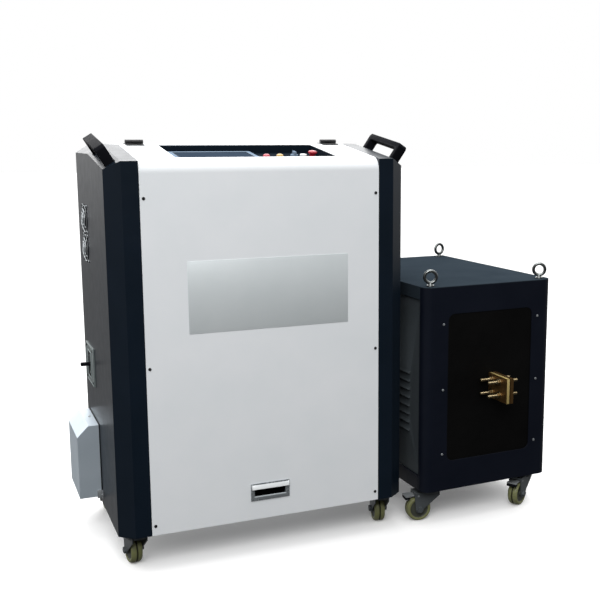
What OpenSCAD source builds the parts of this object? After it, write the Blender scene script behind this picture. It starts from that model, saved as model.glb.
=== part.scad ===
// Induction heating machine: a wheeled power cabinet and a wheeled heating transformer cabinet.
// The cabinet's local frame has X across, Y back from the front face and Z up from its underside.
// The transformer cart has a frame of its own, with its origin at its front left corner.

/* [Power cabinet] */
// Width of the white cover between the two end caps
cover_w = 648; // [560:1:720]
// Depth of the cabinet
cabinet_d = 510; // [470:1:580]
// Height of the front edge of the top above the cabinet's underside
front_h = 970; // [900:1:1050]
// Slope of the front part of the top
top_slope = 8; // [6:0.5:10]
// Distance from the front to the line where the top turns level
break_y = 272; // [262:1:290]
// Thickness of the folded sheet
sheet_t = 2; // [1.5:0.1:3]
// Gap between neighbouring panels
panel_gap = 0.6; // [0.4:0.1:1]
// Bend radius of the white cover along its top front edge
cover_bend_r = 35; // [25:1:45]
// Depth of the cover's folded side edges
cover_edge = 14; // [8:1:20]

/* [End caps] */
// Width of the flat facet at the front of an end cap
cap_facet = 42.5; // [30:0.5:60]
// Sideways reach of an end cap's upright chamfer
cap_chamfer_w = 39; // [30:1:50]
// Depth of an end cap's upright chamfer
cap_chamfer_d = 31; // [22:1:40]
// Drop of the chamfer that runs along the top of an end cap
cap_chamfer_drop = 24.6; // [18:0.2:30]
// Width of the folded edge round the open side of an end cap
cap_edge = 45; // [35:1:55]

/* [Console] */
// Width of the console opening in the cover
console_w = 442; // [420:1:500]
// Distance from the front edge of the top to the console opening, along the slope
console_start = 47; // [42:1:54]
// Length of the console opening along the slope
console_l = 215; // [205:1:218]
// Depth of the console floor under the cover
console_depth = 24; // [18:1:28]
// Width of the touch screen
screen_w = 234; // [200:1:250]
// Length of the touch screen along the slope
screen_l = 170; // [140:1:190]
// Thickness of the touch screen's bezel above the console floor
screen_t = 8; // [5:0.5:12]
// Radius of the collar round each switch and lamp
collar_r = 13; // [11:0.5:13]
// Radius of a switch stem
stem_r = 8; // [6:0.5:9]
// Radius of the emergency stop's mushroom head
estop_r = 12; // [10:0.5:13]
// Travel of the push button
button_travel = 3; // [2:0.5:4]
// Travel of the emergency stop
estop_travel = 4; // [3:0.5:5]

/* [Carry handles] */
// Length of a carry handle
handle_l = 200; // [170:1:220]
// Height of a carry handle above the end cap
handle_h = 50; // [42:1:60]
// Width of a carry handle's bar
handle_w = 27; // [20:1:30]
// Thickness of a carry handle's bar
handle_t = 17.6; // [14:0.2:20]
// Distance from the front to the middle of a carry handle
handle_y = 133; // [128:1:145]

/* [Side fittings] */
// Side of a cooling fan's square frame
fan_size = 80; // [70:1:90]
// Depth of a cooling fan's frame
fan_depth = 25; // [20:1:38]
// Distance from the back to the fans' centres
fan_back = 134; // [125:1:145]
// Height of the lower fan's centre
fan_z = 722; // [700:1:730]
// Reach of the wire guards outside the end cap
guard_reach = 10; // [7:0.5:14]
// Width of the circuit breaker's front plate
breaker_w = 132; // [120:1:140]
// Height of the circuit breaker's front plate
breaker_h = 110; // [100:1:120]
// Distance from the back to the breaker's middle
breaker_back = 122; // [115:1:130]
// Height of the breaker's middle
breaker_z = 386; // [375:1:400]
// Reach of the breaker's toggle outside its plate
toggle_reach = 26; // [18:1:32]
// Reach of the mains hood outside the end cap
hood_reach = 62; // [50:1:75]
// Depth of the mains hood from front to back
hood_d = 187; // [170:1:200]
// Height of the mains hood
hood_h = 210; // [190:1:230]
// Size of the chamfer along the hood's upper edge
hood_chamfer = 31; // [20:1:40]
// Distance from the back to the hood
hood_back = 35; // [28:1:45]
// Height of the hood's lower edge
hood_z = 21; // [15:1:30]
// Radius of the mains cable's entry hole
cable_entry_r = 22; // [18:0.5:26]
// Width of the flush pull's frame
pull_w = 110; // [90:1:130]
// Height of the flush pull's frame
pull_h = 48; // [40:1:60]
// Depth of the flush pull's cup
pull_depth = 20; // [15:1:30]
// Height of the flush pull's middle
pull_z = 78; // [72:1:90]

/* [Transformer cart] */
// Width of the cart's cabinet
cart_w = 436; // [410:1:480]
// Depth of the cart's cabinet
cart_d = 650; // [600:1:700]
// Height of the cart's cabinet
cart_h = 608; // [560:1:660]
// Distance from the power cabinet's middle to the cart's left side
cart_x = 462; // [455:1:520]
// Distance that the cart stands forward of the power cabinet
cart_forward = 15.5; // [5:0.5:30]
// Turn of the cart about the upright
cart_turn = 2; // [0:0.5:4]
// Radius of the cart's upright front corners
cart_corner_r = 28; // [22:1:32]
// Distance from the cart's sides to its front window
window_side = 74; // [68:1:85]
// Height of the front window's lower edge
window_low = 89; // [80:1:110]
// Distance from the front window to the cart's top
window_down = 81; // [70:1:100]
// Corner radius of the front window
window_r = 20; // [12:1:30]
// Thickness of the black board behind the window
board_t = 6; // [4:0.5:10]
// Depth of the band round the top of the cart
top_band = 38; // [30:1:45]
// Height of the cart's base
cart_base_h = 45; // [40:1:50]
// Inset of the cart's side panels
panel_inset = 5; // [3:0.5:8]

/* [Output bars] */
// Thickness of each copper output bar
bar_t = 10; // [8:0.5:12]
// Height of the output bars
bar_h = 74; // [68:1:90]
// Reach of the output bars in front of the cart
bar_reach = 93; // [85:1:100]
// Distance from the window's middle down to the output bars' middle
bar_down = 3; // [0:1:12]
// Thickness of the insulator between the output bars
bar_gap = 3; // [2:0.5:5]
// Radius of the studs through the output bars
stud_r = 5; // [4:0.5:6]

/* [Casters] */
// Diameter of a caster's wheel
wheel_d = 75; // [70:1:80]
// Width of a caster's wheel
wheel_w = 32; // [28:1:36]
// Height of a caster from the floor to the top of its plate
caster_h = 100; // [97:1:110]
// Distance from a caster's swivel axis to its wheel's axle
caster_trail = 38; // [34:1:40]
// Distance from the sides to a caster's swivel axis
caster_inset = 51; // [48:1:60]
// Length of a caster's plate
plate_l = 80; // [74:1:90]
// Width of a caster's plate
plate_w = 60; // [54:1:70]
// Radius of a caster's axle and kingpin
axle_r = 5; // [4:0.5:6]

/* [Hidden] */
$fn = 64;
// Overrun of every cut past the face that it opens
over = 1;
// Radial clearance of a shaft that turns or slides in its bore
run_fit = 0.05;
// Gap between parts that move past each other
run_gap = 0.3;

// Places shared by the power cabinet's pieces
half_cover = cover_w / 2;
half_cabinet = half_cover + cap_facet + cap_chamfer_w;
top_rise = break_y * tan(top_slope);
top_h = front_h + top_rise;
top_tilt = atan2(cap_chamfer_drop * cos(top_slope), cap_chamfer_w);
bend_z = front_h + cover_bend_r * tan(top_slope) - cover_bend_r / cos(top_slope);
seam_y = break_y - panel_gap / 2;
fan_y = cabinet_d - fan_back;
breaker_y = cabinet_d - breaker_back;
hood_y = cabinet_d - hood_back - hood_d;
reach_all = 4 * (cabinet_d + front_h);

// Frame of square tube and folded base
frame_in = sheet_t + panel_gap;
base_h = 40;
base_t = 3;
tube = 30;
post_inset = 6;
post_x = half_cover - post_inset - tube;
post_y = sheet_t + sheet_t;
rear_post_y = cabinet_d - post_y - tube;
front_rail_z = bend_z - tube + sheet_t;
cross_rail_z = front_rail_z + tube;
cross_rail_h = base_t * 11;
low_rail_z = 250;
high_rail_z = 760;
mount_plate_back = 210;
mount_plate_y = cabinet_d - mount_plate_back;
weld = 0.3;
rail_overlap = 6;
rear_post_h = top_h - sheet_t * 8;

// Rear of the power cabinet
rear_bend_r = 20;
rear_drop = 60;
rear_panel_h = top_h - rear_drop - panel_gap;
vent_w = 120;
vent_h = 6;
vent_pitch = 22;
vent_rows = 9;
vent_z = 560;
vent_x = 110;

// Hinges of the front cover
hinge_x = 282;
hinge_l = 48;
hinge_barrel_r = 6;
hinge_pin_r = 2.5;
hinge_leaf_t = 2.5;
hinge_leaf_d = 26;
hinge_z = top_h + hinge_barrel_r + panel_gap;
knuckle_share = 1 / 3;

// Console
tray_wall = 2;
tray_drop = 3;
tray_flange_t = 1.5;
tray_edge = 14;
console_corner_r = 6;
console_end = console_start + console_l;
floor_v = -console_depth;
screen_x = -83;
screen_u = console_start + console_l / 2 + tray_wall * 4;
screen_border = 14;
screen_recess = 2;
screen_corner_r = 8;
switch_u = 166;
lamp_x = [59, 98];
selector_x = 140;
button_x = 167;
estop_x = 194;
collar_h = 3;
stem_top = floor_v + collar_h;
lamp_r = 10;
lamp_h = 11;
knob_r = 11;
knob_h = 9;
knob_grip_h = 8;
knob_grip_w = 7;
button_r = 10;
button_h = 5;
estop_h = 10;
estop_skirt = 4;
cap_lift = 1;
stem_below = tray_wall + sheet_t;
rail_under = tray_drop + tray_flange_t;
console_rail_x = half_cover - tube - tube - tube - tray_wall * 3;

// Side fittings of the left end cap
fan_bore_r = fan_size / 2 - 2;
fan_hub_r = 16;
fan_shaft_r = 2;
fan_boss_h = 6;
fan_strut_w = 5;
fan_blade_t = 1.6;
fan_blade_gap = 1;
fan_blades = 7;
fan_blade_angle = 38;
fan_corner_r = 5;
fan_screw_r = 2.2;
fan_screw_pitch_share = 0.8938;
fan_pitch = fan_size + 1;
guard_wire_r = 1.1;
guard_ring_shares = [0.96, 0.74, 0.52, 0.3];
guard_rise_shares = [0.25, 0.62, 0.84, 0.94];
guard_eye_r = 3.6;
breaker_plate_t = 4;
breaker_cut_share = 0.78;
breaker_body_d = 105;
breaker_slot_w = 20;
breaker_slot_h = 50;
toggle_axis = 12;
toggle_w = 14;
toggle_t = 9;
toggle_pin_r = 3;
toggle_hub_r = 8;
toggle_pin_reach = 6;
cable_entry_y = hood_y + hood_d / 2;
cable_entry_z = hood_z + hood_h * 0.55;
pull_lip = 7;
pull_plate_t = 1.5;
pull_wall = 1.5;
pull_corner_r = 4;

// Power electronics inside the cabinet
cold_w = 240;
cold_h = 250;
cold_t = 25;
cold_x = -190;
cold_z = 430;
cold_port_r = 8;
cold_port_l = 20;
module_w = 108;
module_h = 62;
module_t = 30;
module_rows = 3;
module_boss_r = 8;
module_boss_h = 5;
board_w = 180;
board_h = 210;
board_pcb_t = 2;
board_x = 90;
board_z = 450;
board_stand = 14;
board_stand_r = 4;
capacitor_r = 38;
capacitor_h = 130;
capacitor_pitch = 88;
capacitor_x = -235;
capacitor_y = 105;
capacitor_stud_r = 5;
capacitor_stud_h = 10;
choke_x = 60;
choke_y = 95;
choke_w = 190;
choke_d = 90;
choke_h = 150;
choke_leg_share = 0.25;
choke_coil_t = 14;
fitting_r = 8;
fitting_barb_r = 9;
fitting_nut_r = 14;
fitting_nut_t = 8;
fitting_reach = 34;
fitting_pitch = 60;
fitting_x = 110;
fitting_z = 130;
fitting_barbs = 3;
terminal_plate_w = 170;
terminal_plate_h = 90;
terminal_plate_t = 8;
terminal_x = -110;
terminal_z = 200;
terminal_pitch = 90;
terminal_r = 6;
terminal_reach = 36;
terminal_nut_r = 11;
terminal_nut_t = 9;

// Casters
wheel_r = wheel_d / 2;
caster_plate_t = 3;
caster_hole_r = 4.5;
caster_hole_margin = 10;
cup_h = 7;
cup_r = 25;
crown_t = 5;
crown_r = 28;
crown_top = caster_h - caster_plate_t - cup_h - run_gap;
leg_gap = 2;
leg_t = 3;
leg_out = wheel_w / 2 + leg_gap + leg_t;
leg_front = 24;
leg_back = 16;
leg_foot = 12;
leg_shoulder = 12;
pin_head_r = 9;
pin_head_t = 4;
axle_head_r = 9;
axle_head_t = 6;
tyre_round = 6;
tread_groove_w = 4;
tread_groove_d = 1.5;
hub_in_r = 11;
hub_out_r = 26;
hub_recess = 4;
pedal_t = 3;
pedal_w = 30;
pedal_reach = 44;
pedal_tail = 10;
pedal_pin_r = 3;
pedal_pin_x = 4;
pedal_z = wheel_d + 4.5;
pedal_lug_r = 6;
pedal_lug_x = 37;
// Directions in which the wheels trail, in degrees: front left, front right, rear left, rear right
cabinet_trail_angles = [97, 78, 95, 80];
cart_trail_angles = [170, 210, 185, 200];
corner_signs = [[0, 0], [1, 0], [0, 1], [1, 1]];

// Transformer cart
cart_front_return = 33;
cart_fold = 10;
cart_wall = 3;
cart_post = 30;
cart_post_t = 3;
cart_top_overlap = sheet_t + panel_gap;
window_x = cart_w / 2 + 3;
window_w = cart_w - 2 * window_side;
window_h = cart_h - window_low - window_down;
window_z = window_low + window_h / 2;
bar_z = window_z - bar_down;
board_margin = 20;
bar_x = window_x + 9;
bar_in = 150;
bar_left_x = bar_x - bar_gap / 2 - bar_t;
bar_fit = 0.5;
stud_left = 33;
stud_right = 27;
stud_y = [-12, -52];
stud_dz = 20;
stud_hole_fit = 0.2;
stud_nut_r = 8.5;
stud_nut_t = 7;
eye_inset_x = 30;
eye_inset_y = 26;
eye_ring_r = 15;
eye_wire_r = 4;
eye_collar_r = 11;
eye_collar_h = 4;
eye_z = 24;
eye_turns = [-20, -30, 25, 10];
louvre_l = 120;
louvre_y = 95;
louvre_z = 165;
louvre_pitch = 25;
louvre_rows = 8;
louvre_h = 12;
louvre_t = 1.2;
louvre_out = 4.5;
core_w = 240;
core_d = 120;
core_h = 300;
core_leg = 60;
core_y = 170;
core_z = 60;
core_foot_w = 30;
coil_t = 22;
coil_gap = 1;
coil_h_share = 0.92;
rear_port_r = 32;
rear_port_z = 160;
rear_port_x_share = 0.3;

// Places of the whole machine in its own frame
box_left = -half_cabinet - hood_reach;
box_right = cart_x + (cart_w - cart_corner_r) * cos(cart_turn)
  - cart_corner_r * sin(cart_turn) + cart_corner_r;
box_front = -cart_forward + bar_left_x * sin(cart_turn) - bar_reach * cos(cart_turn);
box_back = -cart_forward + cart_w * sin(cart_turn) + cart_d * cos(cart_turn);
middle_x = (box_left + box_right) / 2;
middle_y = (box_front + box_back) / 2;

// Colours, as the photograph shows them
navy = [0.11, 0.14, 0.2];
white_paint = [0.93, 0.94, 0.95];
light_grey = [0.72, 0.75, 0.77];
steel = [0.62, 0.64, 0.66];
chrome = [0.82, 0.83, 0.85];
black = [0.06, 0.06, 0.07];
copper = [0.72, 0.5, 0.24];
olive = [0.55, 0.55, 0.34];
dark_zinc = [0.32, 0.34, 0.35];

// Frames and general shapes

module at_cabinet() {
  translate([-middle_x, -middle_y, caster_h])
    children();
}

module at_cart() {
  translate([cart_x - middle_x, -cart_forward - middle_y, caster_h])
    rotate([0, 0, cart_turn])
      children();
}

// The sloping top's own frame: X across, Y along the slope from the front edge, Z out of the slope
module on_slope() {
  translate([0, 0, front_h])
    rotate([top_slope, 0, 0])
      children();
}

// Extrudes an outline in (y, z) across the machine, centred
module across(len) {
  translate([-len / 2, 0, 0])
    rotate([90, 0, 90])
      linear_extrude(height = len)
        children();
}

// Extrudes an outline in (x, z) from y = 0 towards the back
module backwards(len) {
  translate([0, len, 0])
    rotate([90, 0, 0])
      linear_extrude(height = len)
        children();
}

module rounded_rect(w, h, r) {
  square([w - 2 * r, h], center = true);
  square([w, h - 2 * r], center = true);
  for (sx = [-1, 1])
    for (sy = [-1, 1])
      translate([sx * (w / 2 - r), sy * (h / 2 - r)])
        circle(r = r);
}

module block(low, high) {
  translate(low)
    cube(high - low);
}

// A hollow square tube from one corner, along Z
module square_tube(h) {
  difference() {
    cube([tube, tube, h]);
    translate([base_t, base_t, -over])
      cube([tube - 2 * base_t, tube - 2 * base_t, h + 2 * over]);
  }
}

// End caps

// Plan of the left end cap, drawn in by t inside its front, side and back
module cap_plan(t, open_x) {
  slant = sqrt(cap_chamfer_w ^ 2 + cap_chamfer_d ^ 2);
  facet_x = -half_cover - cap_facet;
  polygon([
    [open_x, t],
    [facet_x + t * (slant - cap_chamfer_w) / cap_chamfer_d, t],
    [-half_cabinet + t, cap_chamfer_d + t * (slant - cap_chamfer_d) / cap_chamfer_w],
    [-half_cabinet + t, cabinet_d - t],
    [open_x, cabinet_d - t]
  ]);
}

// Section of the cap's top across its length, drawn in by t, with z measured from the top.
// In the sloping frame every height shrinks by the cosine of the slope, so both parts meet exactly.
module cap_section(t, shrink, open_x) {
  slant = sqrt(cap_chamfer_w ^ 2 + cap_chamfer_drop ^ 2);
  facet_x = -half_cover - cap_facet;
  top_in = t / cos(top_slope);
  side_in = top_in - t + t * (slant - cap_chamfer_drop) / cap_chamfer_w;
  polygon([
    [open_x, -top_in * shrink],
    [facet_x + t * (slant - cap_chamfer_w) / cap_chamfer_drop, -top_in * shrink],
    [-half_cabinet + t, (-cap_chamfer_drop - side_in) * shrink],
    [-half_cabinet + t, -reach_all],
    [open_x, -reach_all]
  ]);
}

module cap_solid(t, open_x, z_low) {
  intersection() {
    translate([0, 0, z_low])
      linear_extrude(height = top_h + over - z_low)
        cap_plan(t, open_x);
    union() {
      intersection() {
        translate([0, 0, front_h])
          rotate([top_slope, 0, 0])
            translate([0, -reach_all / 2, 0])
              backwards(reach_all)
                cap_section(t, cos(top_slope), open_x);
        block([-reach_all, -over, -reach_all], [reach_all, break_y, reach_all]);
      }
      translate([0, break_y, top_h])
        backwards(cabinet_d)
          cap_section(t, 1, open_x);
    }
  }
}

// Side outline of the cabinet in (y, z), drawn in by t
module side_outline(t, z_low) {
  polygon([
    [t, z_low],
    [t, front_h + t * tan(top_slope) - t / cos(top_slope)],
    [break_y, top_h - t / cos(top_slope)],
    [cabinet_d - t, top_h - t / cos(top_slope)],
    [cabinet_d - t, z_low]
  ]);
}

module end_cap_shell() {
  difference() {
    cap_solid(0, -half_cover, 0);
    cap_solid(sheet_t, -half_cover + over, -over);
  }
  translate([-half_cover - sheet_t / 2, 0, 0])
    across(sheet_t)
      difference() {
        side_outline(sheet_t / 2, base_h + sheet_t);
        side_outline(cap_edge, -over);
      }
}

module fan_places() {
  for (k = [0, 1])
    translate([-half_cabinet, fan_y, fan_z + k * fan_pitch])
      children();
}

// Turns a shape that is modelled along Z so that its Z points out of the left end cap
module facing_left() {
  rotate([0, -90, 0])
    children();
}

module left_end_cap() {
  color(navy)
    at_cabinet()
      difference() {
        end_cap_shell();
        fan_places()
          facing_left()
            translate([0, 0, -sheet_t - over])
              cylinder(r = fan_bore_r, h = sheet_t + 2 * over);
        translate([-half_cabinet - over, breaker_y, breaker_z])
          rotate([0, 90, 0])
            linear_extrude(height = sheet_t + 2 * over)
              square([
                breaker_h * breaker_cut_share + panel_gap,
                breaker_w * breaker_cut_share + panel_gap
              ], center = true);
        translate([-half_cabinet - over, cable_entry_y, cable_entry_z])
          rotate([0, 90, 0])
            cylinder(r = cable_entry_r, h = sheet_t + 2 * over);
      }
}

module right_end_cap() {
  color(navy)
    at_cabinet()
      mirror([1, 0, 0])
        end_cap_shell();
}

// Power cabinet: frame, rear and covers

module base_plan(t) {
  cap_plan(t, 0);
  mirror([1, 0])
    cap_plan(t, 0);
}

// Height of the console rails' upper face at a distance y from the front
function rail_top(y) = front_h + y * tan(top_slope) - rail_under / cos(top_slope);

module console_rail() {
  y0 = post_y + frame_in + tube + weld;
  y1 = break_y - tube / 2 - weld;
  drop = tube + rail_overlap;
  translate([console_rail_x + tube / 2, 0, 0])
    across(tube)
      polygon([
        [y0, rail_top(y0)],
        [y1, rail_top(y1)],
        [y1, rail_top(y1) - drop],
        [y0, rail_top(y0) - drop]
      ]);
}

module side_rail(z) {
  block([post_x, post_y + frame_in + tube + weld, z],
    [post_x + tube, rear_post_y - frame_in - weld, z + tube]);
}

// The tubes meet with a weld's gap, so that each stays a piece of its own
module cabinet_frame() {
  color(steel)
    at_cabinet() {
      difference() {
        linear_extrude(height = base_h)
          base_plan(frame_in);
        translate([0, 0, base_t])
          linear_extrude(height = base_h)
            base_plan(frame_in + base_t);
      }
      for (side = [0, 1])
        mirror([side, 0, 0]) {
          translate([post_x, post_y + frame_in, base_t + weld])
            square_tube(front_rail_z - base_t - 2 * weld);
          translate([post_x, rear_post_y - frame_in, base_t + weld])
            square_tube(rear_post_h - base_t - weld);
          side_rail(front_rail_z);
          side_rail(low_rail_z);
          side_rail(high_rail_z);
          console_rail();
        }
      block([-post_x - tube, post_y + frame_in, front_rail_z],
        [post_x + tube, post_y + frame_in + tube, front_rail_z + tube]);
      block([-post_x - tube, break_y - tube / 2, cross_rail_z + weld],
        [post_x + tube, break_y + tube / 2, cross_rail_z + cross_rail_h]);
      block([weld - post_x, rear_post_y - frame_in, rear_post_h - tube],
        [post_x - weld, rear_post_y - frame_in + tube, rear_post_h]);
      for (z = [low_rail_z, high_rail_z])
        block([weld - post_x, mount_plate_y + base_t + weld, z],
          [post_x - weld, mount_plate_y + base_t + tube, z + tube]);
      block([weld - post_x, mount_plate_y, low_rail_z],
        [post_x - weld, mount_plate_y + base_t, high_rail_z + tube]);
    }
}

// Region behind the white cover in (y, z), drawn in by t from its outer face
module cover_region(t, z_low, y_back) {
  r = cover_bend_r - t;
  translate([cover_bend_r, bend_z])
    circle(r = r);
  polygon([
    [t, z_low],
    [t, bend_z],
    [cover_bend_r, bend_z],
    [cover_bend_r - r * sin(top_slope), bend_z + r * cos(top_slope)],
    [y_back, front_h + y_back * tan(top_slope) - t / cos(top_slope)],
    [y_back, z_low]
  ]);
}

module cover_sheet(t, z_low, len) {
  across(len)
    difference() {
      cover_region(0, z_low, seam_y);
      cover_region(t, z_low - over, seam_y + over);
    }
}

module front_cover() {
  half = half_cover - panel_gap;
  color(white_paint)
    at_cabinet()
      difference() {
        union() {
          cover_sheet(sheet_t, panel_gap, 2 * half);
          for (side = [-1, 1])
            translate([side * (half - sheet_t / 2), 0, 0])
              cover_sheet(cover_edge, base_h + sheet_t, sheet_t);
        }
        on_slope()
          translate([0, console_start + console_l / 2, -sheet_t - over])
            linear_extrude(height = sheet_t + 2 * over)
              rounded_rect(console_w, console_l, console_corner_r);
        translate([0, -over, pull_z])
          backwards(sheet_t + 2 * over)
            rounded_rect(pull_w - 2 * pull_lip + 2 * panel_gap,
              pull_h - 2 * pull_lip + 2 * panel_gap, pull_corner_r);
      }
}

module rear_cover_region(t, z_low) {
  translate([cabinet_d - rear_bend_r, top_h - rear_bend_r])
    circle(r = rear_bend_r - t);
  polygon([
    [0, z_low],
    [0, top_h - t],
    [cabinet_d - rear_bend_r, top_h - t],
    [cabinet_d - rear_bend_r, top_h - rear_bend_r],
    [cabinet_d - t, top_h - rear_bend_r],
    [cabinet_d - t, z_low]
  ]);
}

module rear_cover_sheet(t, len) {
  across(len)
    intersection() {
      difference() {
        rear_cover_region(0, top_h - rear_drop);
        rear_cover_region(t, top_h - rear_drop - over);
      }
      translate([seam_y + panel_gap, 0])
        square([cabinet_d, top_h + over]);
    }
}

module rear_top_cover() {
  half = half_cover - panel_gap;
  color(white_paint)
    at_cabinet() {
      rear_cover_sheet(sheet_t, 2 * half);
      for (side = [-1, 1])
        translate([side * (half - sheet_t / 2), 0, 0])
          rear_cover_sheet(cover_edge, sheet_t);
    }
}

module fitting_places() {
  for (ix = [0, 1])
    for (iz = [0, 1])
      translate([fitting_x + ix * fitting_pitch, cabinet_d, fitting_z + iz * fitting_pitch])
        children();
}

module rear_panel() {
  half = half_cover - panel_gap;
  color(navy)
    at_cabinet()
      difference() {
        block([-half, cabinet_d - sheet_t, panel_gap], [half, cabinet_d, rear_panel_h]);
        for (side = [-1, 1])
          for (k = [0 : vent_rows - 1])
            translate([side * vent_x, cabinet_d - sheet_t - over, vent_z + k * vent_pitch])
              backwards(sheet_t + 2 * over)
                rounded_rect(vent_w, vent_h, vent_h / 2 - panel_gap / 2);
        fitting_places()
          rotate([90, 0, 0])
            translate([0, 0, -over])
              cylinder(r = fitting_r + panel_gap, h = sheet_t + 2 * over);
        for (side = [-1, 1])
          translate([terminal_x + side * terminal_pitch / 2, cabinet_d + over, terminal_z])
            rotate([90, 0, 0])
              cylinder(r = terminal_nut_r + sheet_t, h = sheet_t + 2 * over);
      }
}

// Hinge knuckles and leaves: part 0 stays with the rear cover, part 1 rides on the front cover
module hinge_knuckle(from_share, to_share, bore_r) {
  translate([(from_share - 0.5) * hinge_l, seam_y, hinge_z])
    rotate([0, 90, 0])
      difference() {
        cylinder(r = hinge_barrel_r, h = (to_share - from_share) * hinge_l);
        translate([0, 0, -over])
          cylinder(r = bore_r, h = hinge_l + 2 * over);
      }
}

module hinge_fixed_leaves() {
  color(black)
    at_cabinet()
      for (side = [-1, 1])
        translate([side * hinge_x, 0, 0]) {
          gap_share = run_gap / hinge_l;
          hinge_knuckle(0, knuckle_share - gap_share, 0);
          hinge_knuckle(1 - knuckle_share + gap_share, 1, 0);
          translate([-hinge_l / 2, seam_y, hinge_z])
            rotate([0, 90, 0])
              cylinder(r = hinge_pin_r, h = hinge_l);
          for (low_share = [0, 1 - knuckle_share + gap_share])
            block([(low_share - 0.5) * hinge_l, seam_y, top_h],
              [(low_share + knuckle_share - gap_share - 0.5) * hinge_l,
                seam_y + hinge_barrel_r + hinge_leaf_t, top_h + hinge_leaf_t]);
          block([-hinge_l / 2, seam_y + hinge_barrel_r + run_gap, top_h],
            [hinge_l / 2, seam_y + hinge_leaf_d, top_h + hinge_leaf_t]);
        }
}

module hinge_moving_leaves() {
  color(black)
    at_cabinet()
      for (side = [-1, 1])
        translate([side * hinge_x, 0, 0]) {
          hinge_knuckle(knuckle_share, 1 - knuckle_share, hinge_pin_r + run_fit);
          difference() {
            on_slope() {
              slope_seam = seam_y / cos(top_slope);
              translate([-hinge_l / 2, slope_seam - hinge_leaf_d, 0])
                cube([hinge_l, hinge_leaf_d - hinge_barrel_r - sheet_t, hinge_leaf_t]);
              translate([-hinge_l * (0.5 - knuckle_share), slope_seam - hinge_leaf_d, 0])
                cube([hinge_l * (1 - 2 * knuckle_share),
                  hinge_leaf_d - panel_gap, hinge_leaf_t]);
            }
            translate([-hinge_l, seam_y, hinge_z])
              rotate([0, 90, 0])
                cylinder(r = hinge_pin_r + run_fit, h = 2 * hinge_l);
          }
        }
}

// Console

module tray_outline(grow) {
  translate([0, console_start + console_l / 2])
    square([console_w + 2 * grow, console_l + 2 * grow], center = true);
}

module console_tray() {
  color(navy)
    at_cabinet()
      on_slope()
        difference() {
          union() {
            translate([0, 0, floor_v - tray_wall])
              linear_extrude(height = console_depth + tray_wall - tray_drop)
                tray_outline(tray_wall);
            translate([0, 0, -rail_under])
              linear_extrude(height = tray_flange_t)
                tray_outline(tray_edge);
          }
          difference() {
            translate([0, 0, floor_v])
              linear_extrude(height = console_depth + over)
                tray_outline(0);
            for (x = [selector_x, button_x, estop_x])
              translate([x, switch_u, floor_v - over])
                cylinder(r = collar_r - run_gap, h = collar_h + over);
          }
          for (x = [selector_x, button_x, estop_x])
            translate([x, switch_u, floor_v - console_depth])
              cylinder(r = stem_r + run_fit, h = 2 * console_depth);
        }
}

module touch_screen() {
  color(light_grey)
    at_cabinet()
      on_slope()
        translate([screen_x, screen_u, floor_v])
          difference() {
            linear_extrude(height = screen_t)
              rounded_rect(screen_w, screen_l, screen_corner_r);
            translate([0, 0, screen_t - screen_recess])
              linear_extrude(height = screen_recess + over)
                square([screen_w - 2 * screen_border, screen_l - 2 * screen_border],
                  center = true);
          }
}

module pilot_lamps() {
  color("crimson")
    at_cabinet()
      on_slope()
        for (x = lamp_x)
          translate([x, switch_u, floor_v]) {
            cylinder(r = collar_r, h = collar_h);
            cylinder(r = lamp_r, h = lamp_h - sheet_t);
            cylinder(r = lamp_r - sheet_t, h = lamp_h);
          }
}

module switch_stem(top) {
  translate([0, 0, floor_v - stem_below])
    cylinder(r = stem_r, h = top - floor_v + stem_below);
}

module selector_knob() {
  base = stem_top + run_gap;
  color("slategray")
    at_cabinet()
      on_slope()
        translate([selector_x, switch_u, 0]) {
          switch_stem(base + over);
          translate([0, 0, base])
            cylinder(r = knob_r, h = knob_h);
          translate([-knob_grip_w / 2, -knob_r, base + knob_h])
            cube([knob_grip_w, 2 * knob_r, knob_grip_h]);
        }
}

module push_button() {
  base = stem_top + button_travel + cap_lift;
  color(white_paint)
    at_cabinet()
      on_slope()
        translate([button_x, switch_u, 0]) {
          switch_stem(base + over);
          translate([0, 0, base])
            cylinder(r = button_r, h = button_h);
        }
}

module estop_button() {
  base = stem_top + estop_travel + cap_lift;
  color("red")
    at_cabinet()
      on_slope()
        translate([estop_x, switch_u, 0]) {
          switch_stem(base + over);
          translate([0, 0, base])
            cylinder(r1 = stem_r, r2 = estop_r, h = estop_skirt);
          translate([0, 0, base + estop_skirt])
            cylinder(r = estop_r, h = estop_h - estop_skirt);
          translate([0, 0, base + estop_h])
            cylinder(r1 = estop_r, r2 = stem_r, h = estop_skirt);
        }
}

// Carry handles on the sloping chamfers of the end caps

module handle_outline() {
  grip_round = handle_t * 0.7;
  difference() {
    union() {
      translate([0, (handle_h - grip_round) / 2])
        square([handle_l, handle_h - grip_round], center = true);
      translate([0, handle_h / 2])
        rounded_rect(handle_l, handle_h, grip_round);
    }
    translate([0, (handle_h - handle_t) / 2])
      rounded_rect(handle_l - 2 * handle_t, handle_h - handle_t, grip_round / 2);
    translate([0, 0])
      square([handle_l - 2 * handle_t, handle_h - handle_t], center = true);
  }
}

module carry_handles() {
  chamfer_x = half_cover + cap_facet + cap_chamfer_w / 2;
  color(black)
    at_cabinet()
      for (side = [0, 1])
        mirror([side, 0, 0])
          translate([chamfer_x, handle_y,
              front_h + handle_y * tan(top_slope) - cap_chamfer_drop / 2])
            rotate([top_slope, 0, 0])
              rotate([0, top_tilt, 0])
                across(handle_w)
                  handle_outline();
}

// Fans, breaker and hood on the left end cap

module fan_struts() {
  for (k = [0 : 3])
    rotate([0, 0, 45 + 90 * k])
      translate([fan_hub_r - over, -fan_strut_w / 2, -fan_depth - sheet_t])
        cube([fan_bore_r - fan_hub_r + 2 * over, fan_strut_w, sheet_t]);
}

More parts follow.
